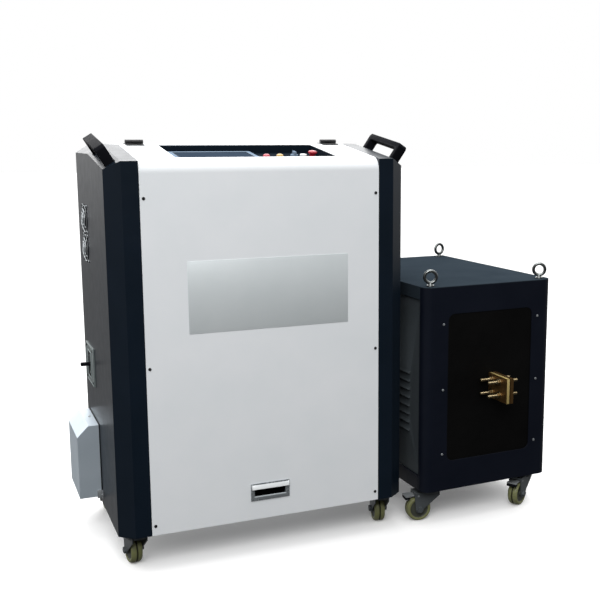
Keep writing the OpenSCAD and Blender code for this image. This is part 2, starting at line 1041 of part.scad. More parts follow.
module fan_frames() {
  screw_at = fan_size * fan_screw_pitch_share / 2;
  color(black)
    at_cabinet()
      fan_places()
        facing_left()
          difference() {
            union() {
              difference() {
                translate([0, 0, -fan_depth - sheet_t])
                  linear_extrude(height = fan_depth)
                    rounded_rect(fan_size, fan_size, fan_corner_r);
                translate([0, 0, -fan_depth - sheet_t - over])
                  cylinder(r = fan_bore_r, h = fan_depth + 2 * over);
              }
              fan_struts();
              translate([0, 0, -fan_depth - sheet_t])
                cylinder(r = fan_hub_r, h = fan_boss_h);
            }
            translate([0, 0, -fan_depth - sheet_t - over])
              cylinder(r = fan_shaft_r + run_fit, h = fan_depth);
            for (sx = [-1, 1])
              for (sy = [-1, 1])
                translate([sx * screw_at, sy * screw_at, -fan_depth - sheet_t - over])
                  cylinder(r = fan_screw_r, h = fan_depth + 2 * over);
          }
}

module fan_rotor() {
  hub_low = -fan_depth - sheet_t + fan_boss_h + run_gap;
  hub_h = fan_depth - fan_boss_h - 2 * sheet_t;
  blade_r = fan_bore_r - fan_blade_gap;
  blade_h = hub_h - 2 * fan_blade_t;
  color(black)
    facing_left() {
      translate([0, 0, hub_low])
        cylinder(r = fan_hub_r, h = hub_h);
      translate([0, 0, hub_low - fan_boss_h])
        cylinder(r = fan_shaft_r, h = fan_boss_h + over);
      intersection() {
        translate([0, 0, hub_low + fan_blade_t])
          cylinder(r = blade_r, h = blade_h);
        for (k = [0 : fan_blades - 1])
          rotate([0, 0, 360 * k / fan_blades])
            translate([0, 0, hub_low + hub_h / 2])
              rotate([fan_blade_angle, 0, 0])
                translate([fan_hub_r - over, -fan_blade_t / 2, -fan_depth])
                  cube([fan_bore_r - fan_hub_r + over, fan_blade_t, 2 * fan_depth]);
      }
    }
}

module fan_rotor_upper() {
  at_cabinet()
    translate([-half_cabinet, fan_y, fan_z + fan_pitch])
      fan_rotor();
}

module fan_rotor_lower() {
  at_cabinet()
    translate([-half_cabinet, fan_y, fan_z])
      fan_rotor();
}

// A spoke of the guard as a bent strip along X, from the ring at share k outwards
module guard_spoke(low, eye_at) {
  rise = [for (s = guard_rise_shares) guard_reach * s - 2 * guard_wire_r];
  at = [for (s = guard_ring_shares) fan_bore_r * s];
  translate([0, -guard_wire_r, 0])
    backwards(2 * guard_wire_r)
      polygon([
        [eye_at, low], [eye_at, low + 2 * guard_wire_r],
        [at[0] + guard_wire_r, rise[0] + guard_wire_r],
        [at[1], rise[1] + guard_wire_r],
        [at[2], rise[2] + guard_wire_r],
        [at[3] - 2 * guard_wire_r, rise[3] + guard_wire_r],
        [at[3] - 2 * guard_wire_r, rise[3] - guard_wire_r],
        [at[2], rise[2] - guard_wire_r],
        [at[1], rise[1] - guard_wire_r],
        [at[0] + guard_wire_r, low]
      ]);
}

module fan_guard() {
  screw_at = fan_size * fan_screw_pitch_share / 2;
  eye_reach = screw_at * sqrt(2);
  for (k = [0 : 3])
    translate([0, 0, guard_reach * guard_rise_shares[k] - 2 * guard_wire_r])
      rotate_extrude()
        translate([fan_bore_r * guard_ring_shares[k] - guard_wire_r, 0])
          square([2 * guard_wire_r, 2 * guard_wire_r]);
  for (q = [0 : 3])
    rotate([0, 0, 45 + 90 * q]) {
      guard_spoke(0, eye_reach - guard_eye_r + guard_wire_r / 2);
      translate([eye_reach, 0, 0])
        difference() {
          cylinder(r = guard_eye_r, h = 2 * guard_wire_r);
          translate([0, 0, -over])
            cylinder(r = fan_screw_r, h = guard_reach);
        }
    }
}

module fan_guards() {
  color(chrome)
    at_cabinet()
      fan_places()
        facing_left()
          fan_guard();
}

module circuit_breaker() {
  color(light_grey)
    at_cabinet()
      translate([-half_cabinet, breaker_y, breaker_z])
        difference() {
          union() {
            block([-breaker_plate_t, -breaker_w / 2, -breaker_h / 2],
              [0, breaker_w / 2, breaker_h / 2]);
            block([-over, -breaker_w * breaker_cut_share / 2, -breaker_h * breaker_cut_share / 2],
              [breaker_body_d, breaker_w * breaker_cut_share / 2,
                breaker_h * breaker_cut_share / 2]);
          }
          block([-breaker_plate_t - over, -breaker_slot_w / 2, -breaker_slot_h / 2],
            [toggle_axis + toggle_hub_r + over, breaker_slot_w / 2, breaker_slot_h / 2]);
          translate([toggle_axis, -breaker_slot_w / 2 - toggle_pin_reach, 0])
            backwards(breaker_slot_w + 2 * toggle_pin_reach)
              circle(r = toggle_pin_r + run_fit);
        }
}

module breaker_toggle() {
  color(black)
    at_cabinet()
      translate([-half_cabinet + toggle_axis, breaker_y, breaker_z]) {
        translate([0, -toggle_w / 2, 0])
          backwards(toggle_w)
            difference() {
              union() {
                circle(r = toggle_hub_r);
                translate([-toggle_axis - breaker_plate_t - toggle_reach, -toggle_t / 2])
                  square([toggle_axis + breaker_plate_t + toggle_reach, toggle_t]);
              }
            }
        translate([0, -breaker_slot_w / 2 - toggle_pin_reach + over, 0])
          backwards(breaker_slot_w + 2 * toggle_pin_reach - 2 * over)
            circle(r = toggle_pin_r);
      }
}

module hood_outline(t, x_in) {
  lean = t * tan(22.5);
  polygon([
    [x_in, hood_h - t],
    [-hood_reach + hood_chamfer + lean, hood_h - t],
    [-hood_reach + t, hood_h - hood_chamfer - lean],
    [-hood_reach + t, -t],
    [x_in, -t]
  ]);
}

module cable_hood() {
  color(light_grey)
    at_cabinet()
      translate([-half_cabinet, hood_y, hood_z])
        difference() {
          backwards(hood_d)
            intersection() {
              hood_outline(0, 0);
              translate([-hood_reach, 0])
                square([hood_reach, hood_h]);
            }
          translate([0, sheet_t, 0])
            backwards(hood_d - 2 * sheet_t)
              hood_outline(sheet_t, over);
        }
}

module flush_pull() {
  cup_w = pull_w - 2 * pull_lip;
  cup_h2 = pull_h - 2 * pull_lip;
  color(chrome)
    at_cabinet()
      translate([0, 0, pull_z])
        difference() {
          union() {
            translate([0, -pull_plate_t, 0])
              backwards(pull_plate_t)
                rounded_rect(pull_w, pull_h, pull_corner_r);
            translate([0, -pull_plate_t, 0])
              backwards(pull_depth + pull_plate_t)
                rounded_rect(cup_w, cup_h2, pull_corner_r - pull_wall / 2);
          }
          translate([0, -pull_plate_t - over, 0])
            backwards(pull_depth + over)
              rounded_rect(cup_w - 2 * pull_wall, cup_h2 - 2 * pull_wall,
                pull_corner_r - pull_wall);
        }
}

// Power electronics

module cold_plate() {
  color(steel)
    at_cabinet()
      difference() {
        union() {
          block([cold_x, mount_plate_y - cold_t, cold_z],
            [cold_x + cold_w, mount_plate_y, cold_z + cold_h]);
          for (share = [0.25, 0.75])
            translate([cold_x + cold_w * share, mount_plate_y - cold_t / 2, cold_z - cold_port_l])
              cylinder(r = cold_port_r, h = cold_port_l + over);
        }
        for (share = [0.25, 0.75])
          translate([cold_x + cold_w * share, mount_plate_y - cold_t / 2,
              cold_z - cold_port_l - over])
            cylinder(r = cold_port_r / 2, h = cold_port_l + cold_h * share);
      }
}

module power_modules() {
  module_gap = (cold_h - module_rows * module_h) / (module_rows + 1);
  side_gap = (cold_w - 2 * module_w) / 3;
  color([0.85, 0.82, 0.75])
    at_cabinet()
      for (ix = [0, 1])
        for (iz = [0 : module_rows - 1])
          translate([cold_x + side_gap + ix * (module_w + side_gap),
              mount_plate_y - cold_t - module_t,
              cold_z + module_gap + iz * (module_h + module_gap)]) {
            cube([module_w, module_t, module_h]);
            for (k = [1 : 3])
              translate([module_w * k / 4, -module_boss_h, module_h / 2])
                backwards(module_boss_h + over)
                  circle(r = module_boss_r);
          }
}

module capacitor_bank() {
  color([0.2, 0.35, 0.55])
    at_cabinet()
      for (ix = [0 : 2])
        for (iy = [0, 1])
          translate([capacitor_x + ix * capacitor_pitch, capacitor_y + iy * capacitor_pitch,
              base_t]) {
            cylinder(r = capacitor_r, h = capacitor_h);
            for (side = [-1, 1])
              translate([side * capacitor_r / 2, 0, capacitor_h - over])
                cylinder(r = capacitor_stud_r, h = capacitor_stud_h + over);
          }
}

module dc_choke() {
  leg = choke_w * choke_leg_share;
  color([0.45, 0.3, 0.2])
    at_cabinet()
      translate([choke_x, choke_y, base_t]) {
        difference() {
          cube([choke_w, choke_d, choke_h]);
          translate([leg, -over, leg])
            cube([choke_w - 2 * leg, choke_d + 2 * over, choke_h - 2 * leg]);
        }
        for (x = [0, choke_w - leg])
          translate([x - choke_coil_t, -choke_coil_t, leg])
            cube([leg + 2 * choke_coil_t, choke_d + 2 * choke_coil_t, choke_h - 2 * leg]);
      }
}

module control_board() {
  pcb_y = mount_plate_y - board_stand - board_pcb_t;
  color([0.1, 0.4, 0.25])
    at_cabinet()
      translate([board_x, pcb_y, board_z]) {
        cube([board_w, board_pcb_t, board_h]);
        for (sx = [0.06, 0.94])
          for (sz = [0.06, 0.94])
            translate([board_w * sx, board_pcb_t - over / 2, board_h * sz])
              backwards(board_stand + over / 2)
                circle(r = board_stand_r);
        translate([board_w * 0.12, -board_stand, board_h * 0.15])
          cube([board_w * 0.3, board_stand + over, board_h * 0.2]);
        translate([board_w * 0.55, -board_stand / 2, board_h * 0.5])
          cube([board_w * 0.3, board_stand, board_h * 0.3]);
        translate([board_w * 0.2, -board_stand * 2, board_h * 0.7])
          backwards(board_stand * 2 + over)
            circle(r = board_stand);
      }
}

module water_fittings() {
  color("goldenrod")
    at_cabinet()
      fitting_places() {
        rotate([-90, 0, 0]) {
          difference() {
            union() {
              translate([0, 0, -fitting_reach / 2])
                cylinder(r = fitting_r, h = fitting_reach * 1.5);
              cylinder(r = fitting_nut_r, h = fitting_nut_t, $fn = 6);
              for (k = [1 : fitting_barbs])
                translate([0, 0, fitting_nut_t + k * fitting_nut_t / 1.2])
                  cylinder(r1 = fitting_barb_r, r2 = fitting_r,
                    h = fitting_nut_t / 2, $fn = 32);
            }
            translate([0, 0, -fitting_reach])
              cylinder(r = fitting_r * 0.6, h = 3 * fitting_reach);
          }
        }
      }
}

module output_terminals() {
  color(copper)
    at_cabinet() {
      difference() {
        block([terminal_x - terminal_plate_w / 2, cabinet_d, terminal_z - terminal_plate_h / 2],
          [terminal_x + terminal_plate_w / 2, cabinet_d + terminal_plate_t,
            terminal_z + terminal_plate_h / 2]);
        for (side = [-1, 1])
          translate([terminal_x + side * terminal_pitch / 2, cabinet_d - over, terminal_z])
            backwards(terminal_plate_t + 2 * over)
              circle(r = terminal_r + panel_gap);
      }
      for (side = [-1, 1])
        translate([terminal_x + side * terminal_pitch / 2, cabinet_d, terminal_z]) {
          translate([0, -terminal_reach, 0])
            backwards(2 * terminal_reach + terminal_plate_t)
              circle(r = terminal_r);
          translate([0, terminal_plate_t + run_gap, 0])
            backwards(terminal_nut_t)
              circle(r = terminal_nut_r, $fn = 6);
          translate([0, -terminal_nut_t - run_gap, 0])
            backwards(terminal_nut_t)
              circle(r = terminal_nut_r, $fn = 6);
        }
    }
}

// Casters, drawn with the swivel axis at the origin, the floor at z = 0 and the wheel trailing in +X

module caster_plate() {
  head_top = crown_top - crown_t - run_gap;
  translate([0, 0, caster_h - caster_plate_t])
    linear_extrude(height = caster_plate_t)
      difference() {
        rounded_rect(plate_l, plate_w, caster_hole_margin / 2);
        for (sx = [-1, 1])
          for (sy = [-1, 1])
            translate([sx * (plate_l / 2 - caster_hole_margin),
                sy * (plate_w / 2 - caster_hole_margin)])
              circle(r = caster_hole_r);
      }
  translate([0, 0, crown_top + run_gap])
    cylinder(r = cup_r, h = cup_h + over);
  translate([0, 0, head_top - pin_head_t])
    cylinder(r = axle_r, h = caster_h - head_top + pin_head_t - over);
  translate([0, 0, head_top - pin_head_t])
    cylinder(r = pin_head_r, h = pin_head_t, $fn = 6);
}

// Side outline of a fork leg in (x, z)
module leg_outline() {
  difference() {
    union() {
      polygon([
        [-leg_front, crown_top],
        [caster_trail + leg_back, crown_top],
        [caster_trail + leg_back, crown_top - leg_shoulder],
        [caster_trail + leg_foot, wheel_r],
        [caster_trail - leg_foot, wheel_r],
        [-leg_front, crown_top - leg_shoulder]
      ]);
      translate([caster_trail, wheel_r])
        circle(r = leg_foot);
    }
    translate([caster_trail + pedal_pin_x, pedal_z])
      circle(r = pedal_pin_r + run_fit);
  }
}

module caster_fork() {
  translate([0, 0, crown_top - crown_t])
    linear_extrude(height = crown_t)
      difference() {
        union() {
          circle(r = crown_r);
          translate([0, -leg_out])
            square([caster_trail + leg_back, 2 * leg_out]);
        }
        circle(r = axle_r + run_fit);
      }
  for (y = [-leg_out, leg_out - leg_t])
    translate([0, y, 0])
      backwards(leg_t)
        leg_outline();
  translate([caster_trail, -leg_out - axle_head_t / 2, wheel_r])
    backwards(2 * leg_out + axle_head_t)
      circle(r = axle_r);
  for (y = [-leg_out - axle_head_t, leg_out])
    translate([caster_trail, y, wheel_r])
      backwards(axle_head_t)
        circle(r = axle_head_r, $fn = 6);
}

module caster_wheel() {
  translate([caster_trail, 0, wheel_r])
    rotate([90, 0, 0])
      rotate_extrude()
        difference() {
          union() {
            translate([axle_r + run_fit, -wheel_w / 2])
              square([wheel_r - tyre_round - axle_r - run_fit, wheel_w]);
            translate([axle_r + run_fit, tyre_round - wheel_w / 2])
              square([wheel_r - axle_r - run_fit, wheel_w - 2 * tyre_round]);
            for (side = [-1, 1])
              translate([wheel_r - tyre_round, side * (wheel_w / 2 - tyre_round)])
                circle(r = tyre_round);
          }
          translate([wheel_r - tread_groove_d, -tread_groove_w / 2])
            square([wheel_r, tread_groove_w]);
          for (side = [-1, 1])
            translate([hub_in_r, side * wheel_w / 2 - hub_recess])
              square([hub_out_r - hub_in_r, 2 * hub_recess]);
        }
}

module brake_pedal() {
  translate([caster_trail - pedal_tail, -pedal_w / 2, pedal_z - pedal_t / 2])
    cube([pedal_tail + pedal_reach, pedal_w, pedal_t]);
  translate([caster_trail + pedal_lug_x, -pedal_w / 2, pedal_z - pedal_lug_r])
    backwards(pedal_w)
      circle(r = pedal_lug_r);
  translate([caster_trail + pedal_pin_x, -leg_out, pedal_z])
    backwards(2 * leg_out)
      circle(r = pedal_pin_r);
}

// Moves a caster to its corner and turns it to its trailing direction
module at_cabinet_caster(k) {
  corner = corner_signs[k];
  at_cabinet()
    translate([(2 * corner[0] - 1) * (half_cabinet - caster_inset),
        caster_inset + corner[1] * (cabinet_d - 2 * caster_inset), -caster_h])
      rotate([0, 0, cabinet_trail_angles[k]])
        children();
}

module at_cart_caster(k) {
  corner = corner_signs[k];
  at_cart()
    translate([caster_inset + corner[0] * (cart_w - 2 * caster_inset),
        caster_inset + corner[1] * (cart_d - 2 * caster_inset), -caster_h])
      rotate([0, 0, cart_trail_angles[k]])
        children();
}

module cabinet_fork(k) {
  color(dark_zinc)
    at_cabinet_caster(k)
      caster_fork();
}

module cabinet_wheel(k) {
  color(olive)
    at_cabinet_caster(k)
      caster_wheel();
}

module cart_fork(k) {
  color(dark_zinc)
    at_cart_caster(k)
      caster_fork();
}

module cart_wheel(k) {
  color(olive)
    at_cart_caster(k)
      caster_wheel();
}

module cart_pedal(k) {
  color(black)
    at_cart_caster(k)
      brake_pedal();
}

module cabinet_caster_plates() {
  color(steel)
    for (k = [0 : 3])
      at_cabinet_caster(k)
        rotate([0, 0, -cabinet_trail_angles[k]])
          caster_plate();
}

module cart_caster_plates() {
  color(steel)
    for (k = [0 : 3])
      at_cart_caster(k)
        rotate([0, 0, -cart_trail_angles[k]])
          caster_plate();
}

// Transformer cart

// Plan of the cart with rounded front corners, drawn in by t
module cart_plan(t) {
  r = cart_corner_r;
  translate([t, r])
    square([cart_w - 2 * t, cart_d - r - t]);
  translate([r, t])
    square([cart_w - 2 * r, cart_d - 2 * t]);
  for (x = [r, cart_w - r])
    translate([x, r])
      circle(r = r - t);
}

module cart_frame() {
  post_h = cart_h - sheet_t - base_t - weld;
  rear_y = cart_d - cart_post - frame_in - cart_wall - weld;
  color(navy)
    at_cart() {
      difference() {
        linear_extrude(height = cart_base_h)
          cart_plan(frame_in);
        translate([0, 0, base_t])
          linear_extrude(height = cart_base_h)
            cart_plan(frame_in + cart_wall);
      }
      for (x = [0, cart_w - frame_in - over])
        translate([x, cart_front_return + panel_gap, 0])
          cube([frame_in + over, cart_d - cart_front_return - panel_gap, cart_base_h]);
      translate([0, cart_d - frame_in - over, 0])
        cube([cart_w, frame_in + over, cart_base_h]);
      for (side = [0, 1])
        translate([side * cart_w, 0, 0])
          mirror([side, 0, 0])
            for (y = [cart_front_return + cart_fold, rear_y])
              translate([panel_inset + sheet_t, y, base_t + weld])
                difference() {
                  cube([cart_post, cart_post, post_h]);
                  translate([cart_post_t, cart_post_t, -over])
                    cube([cart_post, cart_post, post_h + 2 * over]);
                }
    }
}

module cart_front() {
  color(navy)
    at_cart()
      difference() {
        union() {
          linear_extrude(height = cart_h - sheet_t)
            difference() {
              cart_plan(0);
              cart_plan(sheet_t);
              translate([-over, cart_front_return])
                square([cart_w + 2 * over, cart_d]);
            }
          for (x = [0, cart_w - cart_fold - sheet_t])
            translate([x, cart_front_return - sheet_t, cart_base_h + panel_gap])
              cube([cart_fold + sheet_t, sheet_t,
                cart_h - cart_base_h - top_band - 2 * panel_gap]);
        }
        translate([window_x, -over, window_z])
          backwards(sheet_t + 2 * over)
            rounded_rect(window_w, window_h, window_r);
      }
}

module cart_top() {
  color(navy)
    at_cart() {
      translate([0, 0, cart_h - sheet_t])
        linear_extrude(height = sheet_t)
          cart_plan(0);
      for (x = [0, cart_w - sheet_t])
        translate([x, cart_front_return + panel_gap, cart_h - top_band])
          cube([sheet_t, cart_d - cart_front_return - panel_gap, top_band - over]);
      translate([0, cart_d - sheet_t, cart_h - top_band])
        cube([cart_w, sheet_t, top_band - over]);
    }
}

// A pressed louvre along Y: a hood that leans out of the panel towards -X, open below
module louvre_hood() {
  translate([0, louvre_l, 0])
    rotate([90, 0, 0])
      linear_extrude(height = louvre_l)
        polygon([[sheet_t / 2, 0], [sheet_t / 2, louvre_h], [-louvre_out, 0]]);
}

module louvre_cut() {
  lean = louvre_h / (louvre_out + sheet_t / 2);
  low_x = louvre_t * 1.5 - louvre_out;
  translate([0, louvre_l - louvre_t, 0])
    rotate([90, 0, 0])
      linear_extrude(height = louvre_l - 2 * louvre_t)
        polygon([
          [low_x, 0], [low_x, -over], [sheet_t + over, -over],
          [sheet_t + over, (sheet_t + over - low_x) * lean]
        ]);
}

module louvre_places() {
  for (k = [0 : louvre_rows - 1])
    translate([panel_inset, louvre_y, louvre_z + k * louvre_pitch])
      children();
}

module cart_side_panel() {
  low_z = cart_base_h + panel_gap;
  difference() {
    union() {
      translate([panel_inset, cart_front_return + panel_gap, low_z])
        cube([sheet_t, cart_d - cart_front_return - 2 * panel_gap - sheet_t,
          cart_h - top_band - panel_gap - low_z]);
      louvre_places()
        louvre_hood();
    }
    louvre_places()
      louvre_cut();
  }
}

module cart_panels() {
  low_z = cart_base_h + panel_gap;
  color(light_grey)
    at_cart() {
      cart_side_panel();
      translate([cart_w, 0, 0])
        mirror([1, 0, 0])
          cart_side_panel();
      difference() {
        translate([panel_inset + sheet_t + panel_gap, cart_d - panel_inset, low_z])
          cube([cart_w - 2 * (panel_inset + sheet_t + panel_gap), sheet_t,
            cart_h - top_band - panel_gap - low_z]);
        for (share = [rear_port_x_share, 1 - rear_port_x_share])
          translate([cart_w * share, cart_d - panel_inset - over, rear_port_z])
            backwards(sheet_t + 2 * over)
              circle(r = rear_port_r);
      }
    }
}

module bar_places(dx) {
  translate([bar_left_x + dx, -bar_reach, bar_z - bar_h / 2])
    children();
}

module stud_holes() {
  for (y = stud_y)
    for (dz = [-stud_dz, stud_dz])
      translate([bar_left_x - stud_left - over, y, bar_z + dz])
        rotate([0, 90, 0])
          cylinder(r = stud_r + stud_hole_fit, h = stud_left + stud_right + 4 * bar_t);
}

module output_bars() {
  color(copper)
    at_cart()
      difference() {
        for (dx = [0, bar_t + bar_gap])
          bar_places(dx)
            cube([bar_t, bar_reach + bar_in, bar_h]);
        stud_holes();
      }
}

module window_board() {
  color(black)
    at_cart() {
      difference() {
        translate([window_x, sheet_t, window_z])
          backwards(board_t)
            square([window_w + 2 * board_margin, window_h + 2 * board_margin], center = true);
        translate([bar_x, sheet_t - over, bar_z])
          backwards(board_t + 2 * over)
            square([2 * bar_t + bar_gap + 2 * bar_fit, bar_h + 2 * bar_fit], center = true);
      }
      difference() {
        translate([bar_left_x + bar_t, -bar_reach + bar_t, bar_z - bar_h / 2])
          cube([bar_gap, bar_reach + bar_in - 2 * bar_t, bar_h]);
        stud_holes();
      }
    }
}

module bar_studs() {
  bars_w = 2 * bar_t + bar_gap;
  color(steel)
    at_cart()
      for (y = stud_y)
        for (dz = [-stud_dz, stud_dz])
          translate([bar_left_x, y, bar_z + dz])
            rotate([0, 90, 0]) {
              translate([0, 0, -stud_left])
                cylinder(r = stud_r, h = stud_left + bars_w + stud_right);
              for (x = [-stud_nut_t, bars_w])
                translate([0, 0, x])
                  cylinder(r = stud_nut_r, h = stud_nut_t, $fn = 6);
            }
}

module eyebolts() {
  color(chrome)
    at_cart()
      for (k = [0 : 3])
        translate([eye_inset_x + corner_signs[k][0] * (cart_w - 2 * eye_inset_x),
            eye_inset_y + corner_signs[k][1] * (cart_d - 2 * eye_inset_y), cart_h]) {
          cylinder(r = eye_collar_r, h = eye_collar_h);
          cylinder(r = eye_wire_r * 1.4, h = eye_z - eye_ring_r);
          translate([0, 0, eye_z])
            rotate([0, 0, eye_turns[k]])
              rotate([90, 0, 0])
                rotate_extrude()
                  translate([eye_ring_r, 0])
                    circle(r = eye_wire_r);
        }
}

module transformer_core() {
  core_x = (cart_w - core_w) / 2;
  color([0.35, 0.36, 0.38])
    at_cart()
      translate([core_x, core_y, base_t]) {
        translate([0, 0, core_z])
          difference() {
            cube([core_w, core_d, core_h]);
            translate([core_leg, -over, core_leg])
              cube([core_w - 2 * core_leg, core_d + 2 * over, core_h - 2 * core_leg]);
          }
        for (x = [0, core_w - core_foot_w])
          translate([x, -core_foot_w / 2, 0])
            cube([core_foot_w, core_d + core_foot_w, core_z]);
      }
}

module transformer_coils() {
  core_x = (cart_w - core_w) / 2;
  coil_h = (core_h - 2 * core_leg) * coil_h_share;
  color(copper)
    at_cart()
      for (x = [0, core_w - core_leg])
        translate([core_x + x + core_leg / 2, core_y + core_d / 2, base_t + core_z + core_leg])
          linear_extrude(height = coil_h)
            difference() {
              square([core_leg + 2 * (coil_t + coil_gap), core_d + 2 * (coil_t + coil_gap)],
                center = true);
              square([core_leg + 2 * coil_gap, core_d + 2 * coil_gap], center = true);
            }
}

cabinet_frame();
left_end_cap();
right_end_cap();
rear_panel();
rear_top_cover();
console_tray();
touch_screen();
pilot_lamps();
carry_handles();
fan_frames();
fan_guards();
circuit_breaker();
cable_hood();
cabinet_caster_plates();
cold_plate();
power_modules();
capacitor_bank();
dc_choke();
control_board();
water_fittings();
output_terminals();
hinge_fixed_leaves();
front_cover();
flush_pull();
hinge_moving_leaves();
fan_rotor_upper();
fan_rotor_lower();
breaker_toggle();
selector_knob();
push_button();
estop_button();
cart_frame();
cart_front();
cart_top();
cart_panels();
window_board();
output_bars();
bar_studs();
eyebolts();
transformer_core();
transformer_coils();
cart_caster_plates();
cabinet_fork(0);  // cabinet_fork_front_left
cabinet_fork(1);  // cabinet_fork_front_right
cabinet_fork(2);  // cabinet_fork_rear_left
cabinet_fork(3);  // cabinet_fork_rear_right
cabinet_wheel(0);  // cabinet_wheel_front_left
cabinet_wheel(1);  // cabinet_wheel_front_right
cabinet_wheel(2);  // cabinet_wheel_rear_left
cabinet_wheel(3);  // cabinet_wheel_rear_right
cart_fork(0);  // cart_fork_front_left
cart_fork(1);  // cart_fork_front_right
cart_fork(2);  // cart_fork_rear_left
cart_fork(3);  // cart_fork_rear_right
cart_wheel(0);  // cart_wheel_front_left
cart_wheel(1);  // cart_wheel_front_right
cart_wheel(2);  // cart_wheel_rear_left
cart_wheel(3);  // cart_wheel_rear_right
cart_pedal(0);  // brake_pedal_left
cart_pedal(1);  // brake_pedal_right
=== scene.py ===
# %% [markdown]
# An induction heating machine stands on two wheeled cabinets: a power cabinet with a white
# cover between navy end caps, and a low transformer cart with copper output bars. This
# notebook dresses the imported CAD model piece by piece. The CAD gives the places, so it is
# loaded first and never moved.

# %% Load the frame
import math
import bmesh
import bpy
from mathutils import Matrix, Vector


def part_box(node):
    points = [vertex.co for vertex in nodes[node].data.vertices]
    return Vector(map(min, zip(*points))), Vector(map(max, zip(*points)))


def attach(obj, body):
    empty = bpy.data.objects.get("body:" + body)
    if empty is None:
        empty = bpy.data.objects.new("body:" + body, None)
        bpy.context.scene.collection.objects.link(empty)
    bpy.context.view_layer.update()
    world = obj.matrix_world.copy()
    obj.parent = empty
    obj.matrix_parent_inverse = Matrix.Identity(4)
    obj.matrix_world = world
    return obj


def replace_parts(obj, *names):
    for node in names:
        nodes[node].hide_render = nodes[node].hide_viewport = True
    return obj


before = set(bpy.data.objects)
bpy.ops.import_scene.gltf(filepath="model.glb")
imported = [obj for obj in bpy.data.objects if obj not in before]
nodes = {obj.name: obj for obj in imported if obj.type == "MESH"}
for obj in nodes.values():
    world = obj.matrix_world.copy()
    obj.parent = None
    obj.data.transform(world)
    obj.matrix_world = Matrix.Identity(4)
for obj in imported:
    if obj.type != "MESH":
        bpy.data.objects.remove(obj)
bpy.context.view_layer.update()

# %% [markdown]
# Each cabinet has a frame of its own in millimetres, the way a fitter would measure it: X
# from its middle or its left side, Y back from its front face and Z up from its underside.
# A matrix takes such a point to the scene's metres. The alternative, typing scene
# coordinates everywhere, would hide what a number means. The sizes are those of the CAD.

# %% Frames of the two cabinets
CASTER_H = 0.1
MM = Matrix.Scale(0.001, 4)
cover_low, cover_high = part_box("front_cover")
CABINET = Matrix.Translation(((cover_low.x + cover_high.x) / 2, cover_low.y, CASTER_H)) @ MM
CART_TURN = math.radians(2)
CART_PLACE = (462, -15.5, 0)
CART = CABINET @ Matrix.Translation(CART_PLACE) @ Matrix.Rotation(CART_TURN, 4, "Z")
SLOPE_DEGREES = 8
SLOPE = math.radians(SLOPE_DEGREES)
FRONT_H = 970
SLOPING = CABINET @ Matrix.Translation((0, 0, FRONT_H)) @ Matrix.Rotation(SLOPE, 4, "X")
HALF_COVER = 324
HALF_CABINET = 405.5
CABINET_DEPTH = 510
CART_WIDTH = 436
CART_DEPTH = 650
CART_H = 608
print("cabinet origin", [round(v, 4) for v in CABINET.translation])

# %% [markdown]
# The camera stands where the photographer stood: 2.4 m in front of the cabinet at chest
# height, turned to the right and a little down. The photograph is a crop from a wider
# picture, so the view is shifted sideways instead of turned.

# %% Camera
SENSOR = 36
PHOTO_PIXELS = 600
FOCAL_PIXELS = 958.81
CENTRE_PIXELS = -61.03
LOOK_DOWN = 9.601
LOOK_RIGHT = 23.593
camera_data = bpy.data.cameras.new("photo_camera")
camera_data.sensor_width = SENSOR
camera_data.lens = FOCAL_PIXELS * SENSOR / PHOTO_PIXELS
camera_data.shift_x = CENTRE_PIXELS / PHOTO_PIXELS
camera_data.clip_end = 100
camera = bpy.data.objects.new("photo_camera", camera_data)
camera.location = CABINET @ Vector((-771.07, -2384.45, 1025.48))
camera.rotation_euler = (math.radians(90 - LOOK_DOWN), 0, math.radians(-LOOK_RIGHT))
bpy.context.collection.objects.link(camera)
scene = bpy.context.scene
scene.camera = camera

# %% [markdown]
# Studio light: a pale floor and two large soft panels, one in front on the left and one
# overhead. The floor is seen by the camera and takes shadows, but it is left out of mirrored
# and bounced light, because light from below makes dark paint look grey.

# %% Floor and lights
scene.view_settings.view_transform = "Standard"


def soft_panel(name, place, target, width, height, power):
    """A large rectangular lamp at place that faces target."""
    lamp = bpy.data.lights.new(name, "AREA")
    lamp.shape = "RECTANGLE"
    lamp.size = width
    lamp.size_y = height
    lamp.energy = power
    holder = bpy.data.objects.new(name, lamp)
    holder.location = place
    aim = Vector(target) - Vector(place)
    holder.rotation_euler = aim.to_track_quat("-Z", "Y").to_euler()
    bpy.context.collection.objects.link(holder)


floor_mesh = bmesh.new()
bmesh.ops.create_grid(floor_mesh, x_segments=1, y_segments=1, size=30)
floor_data = bpy.data.meshes.new("floor")
floor_mesh.to_mesh(floor_data)
floor_mesh.free()
floor = bpy.data.objects.new("floor", floor_data)
bpy.context.collection.objects.link(floor)
floor.visible_glossy = False
floor.visible_diffuse = False
soft_panel("key_panel", (-1.6, -3.6, 3.4), (0, 0, 0.6), 2.6, 2.2, 135)
soft_panel("top_panel", (0.2, 0.6, 3.6), (0, 0, 0.8), 3.2, 2.4, 72)
floor_paint = bpy.data.materials.new("floor_paint")
floor_paint.use_nodes = True
floor_shader = floor_paint.node_tree.nodes["Principled BSDF"]
floor_shader.inputs["Base Color"].default_value = (0.93, 0.93, 0.93, 1)
floor_shader.inputs["Roughness"].default_value = 0.9
floor_shader.inputs["Specular IOR Level"].default_value = 0.1
floor_shader.inputs["Emission Color"].default_value = (1, 1, 1, 1)
floor_shader.inputs["Emission Strength"].default_value = 0.12
floor_data.materials.append(floor_paint)

# %% [markdown]
# Dark navy paint shows mostly what it mirrors, so the surround decides how the caps look. It
# is dim in front and brighter behind, which gives the side face its grey sheen. It is
# lighter overhead and darker under the horizon, and it has a bright band low at the back for
# the tops, which mirror it at a grazing angle. The camera itself sees plain white.

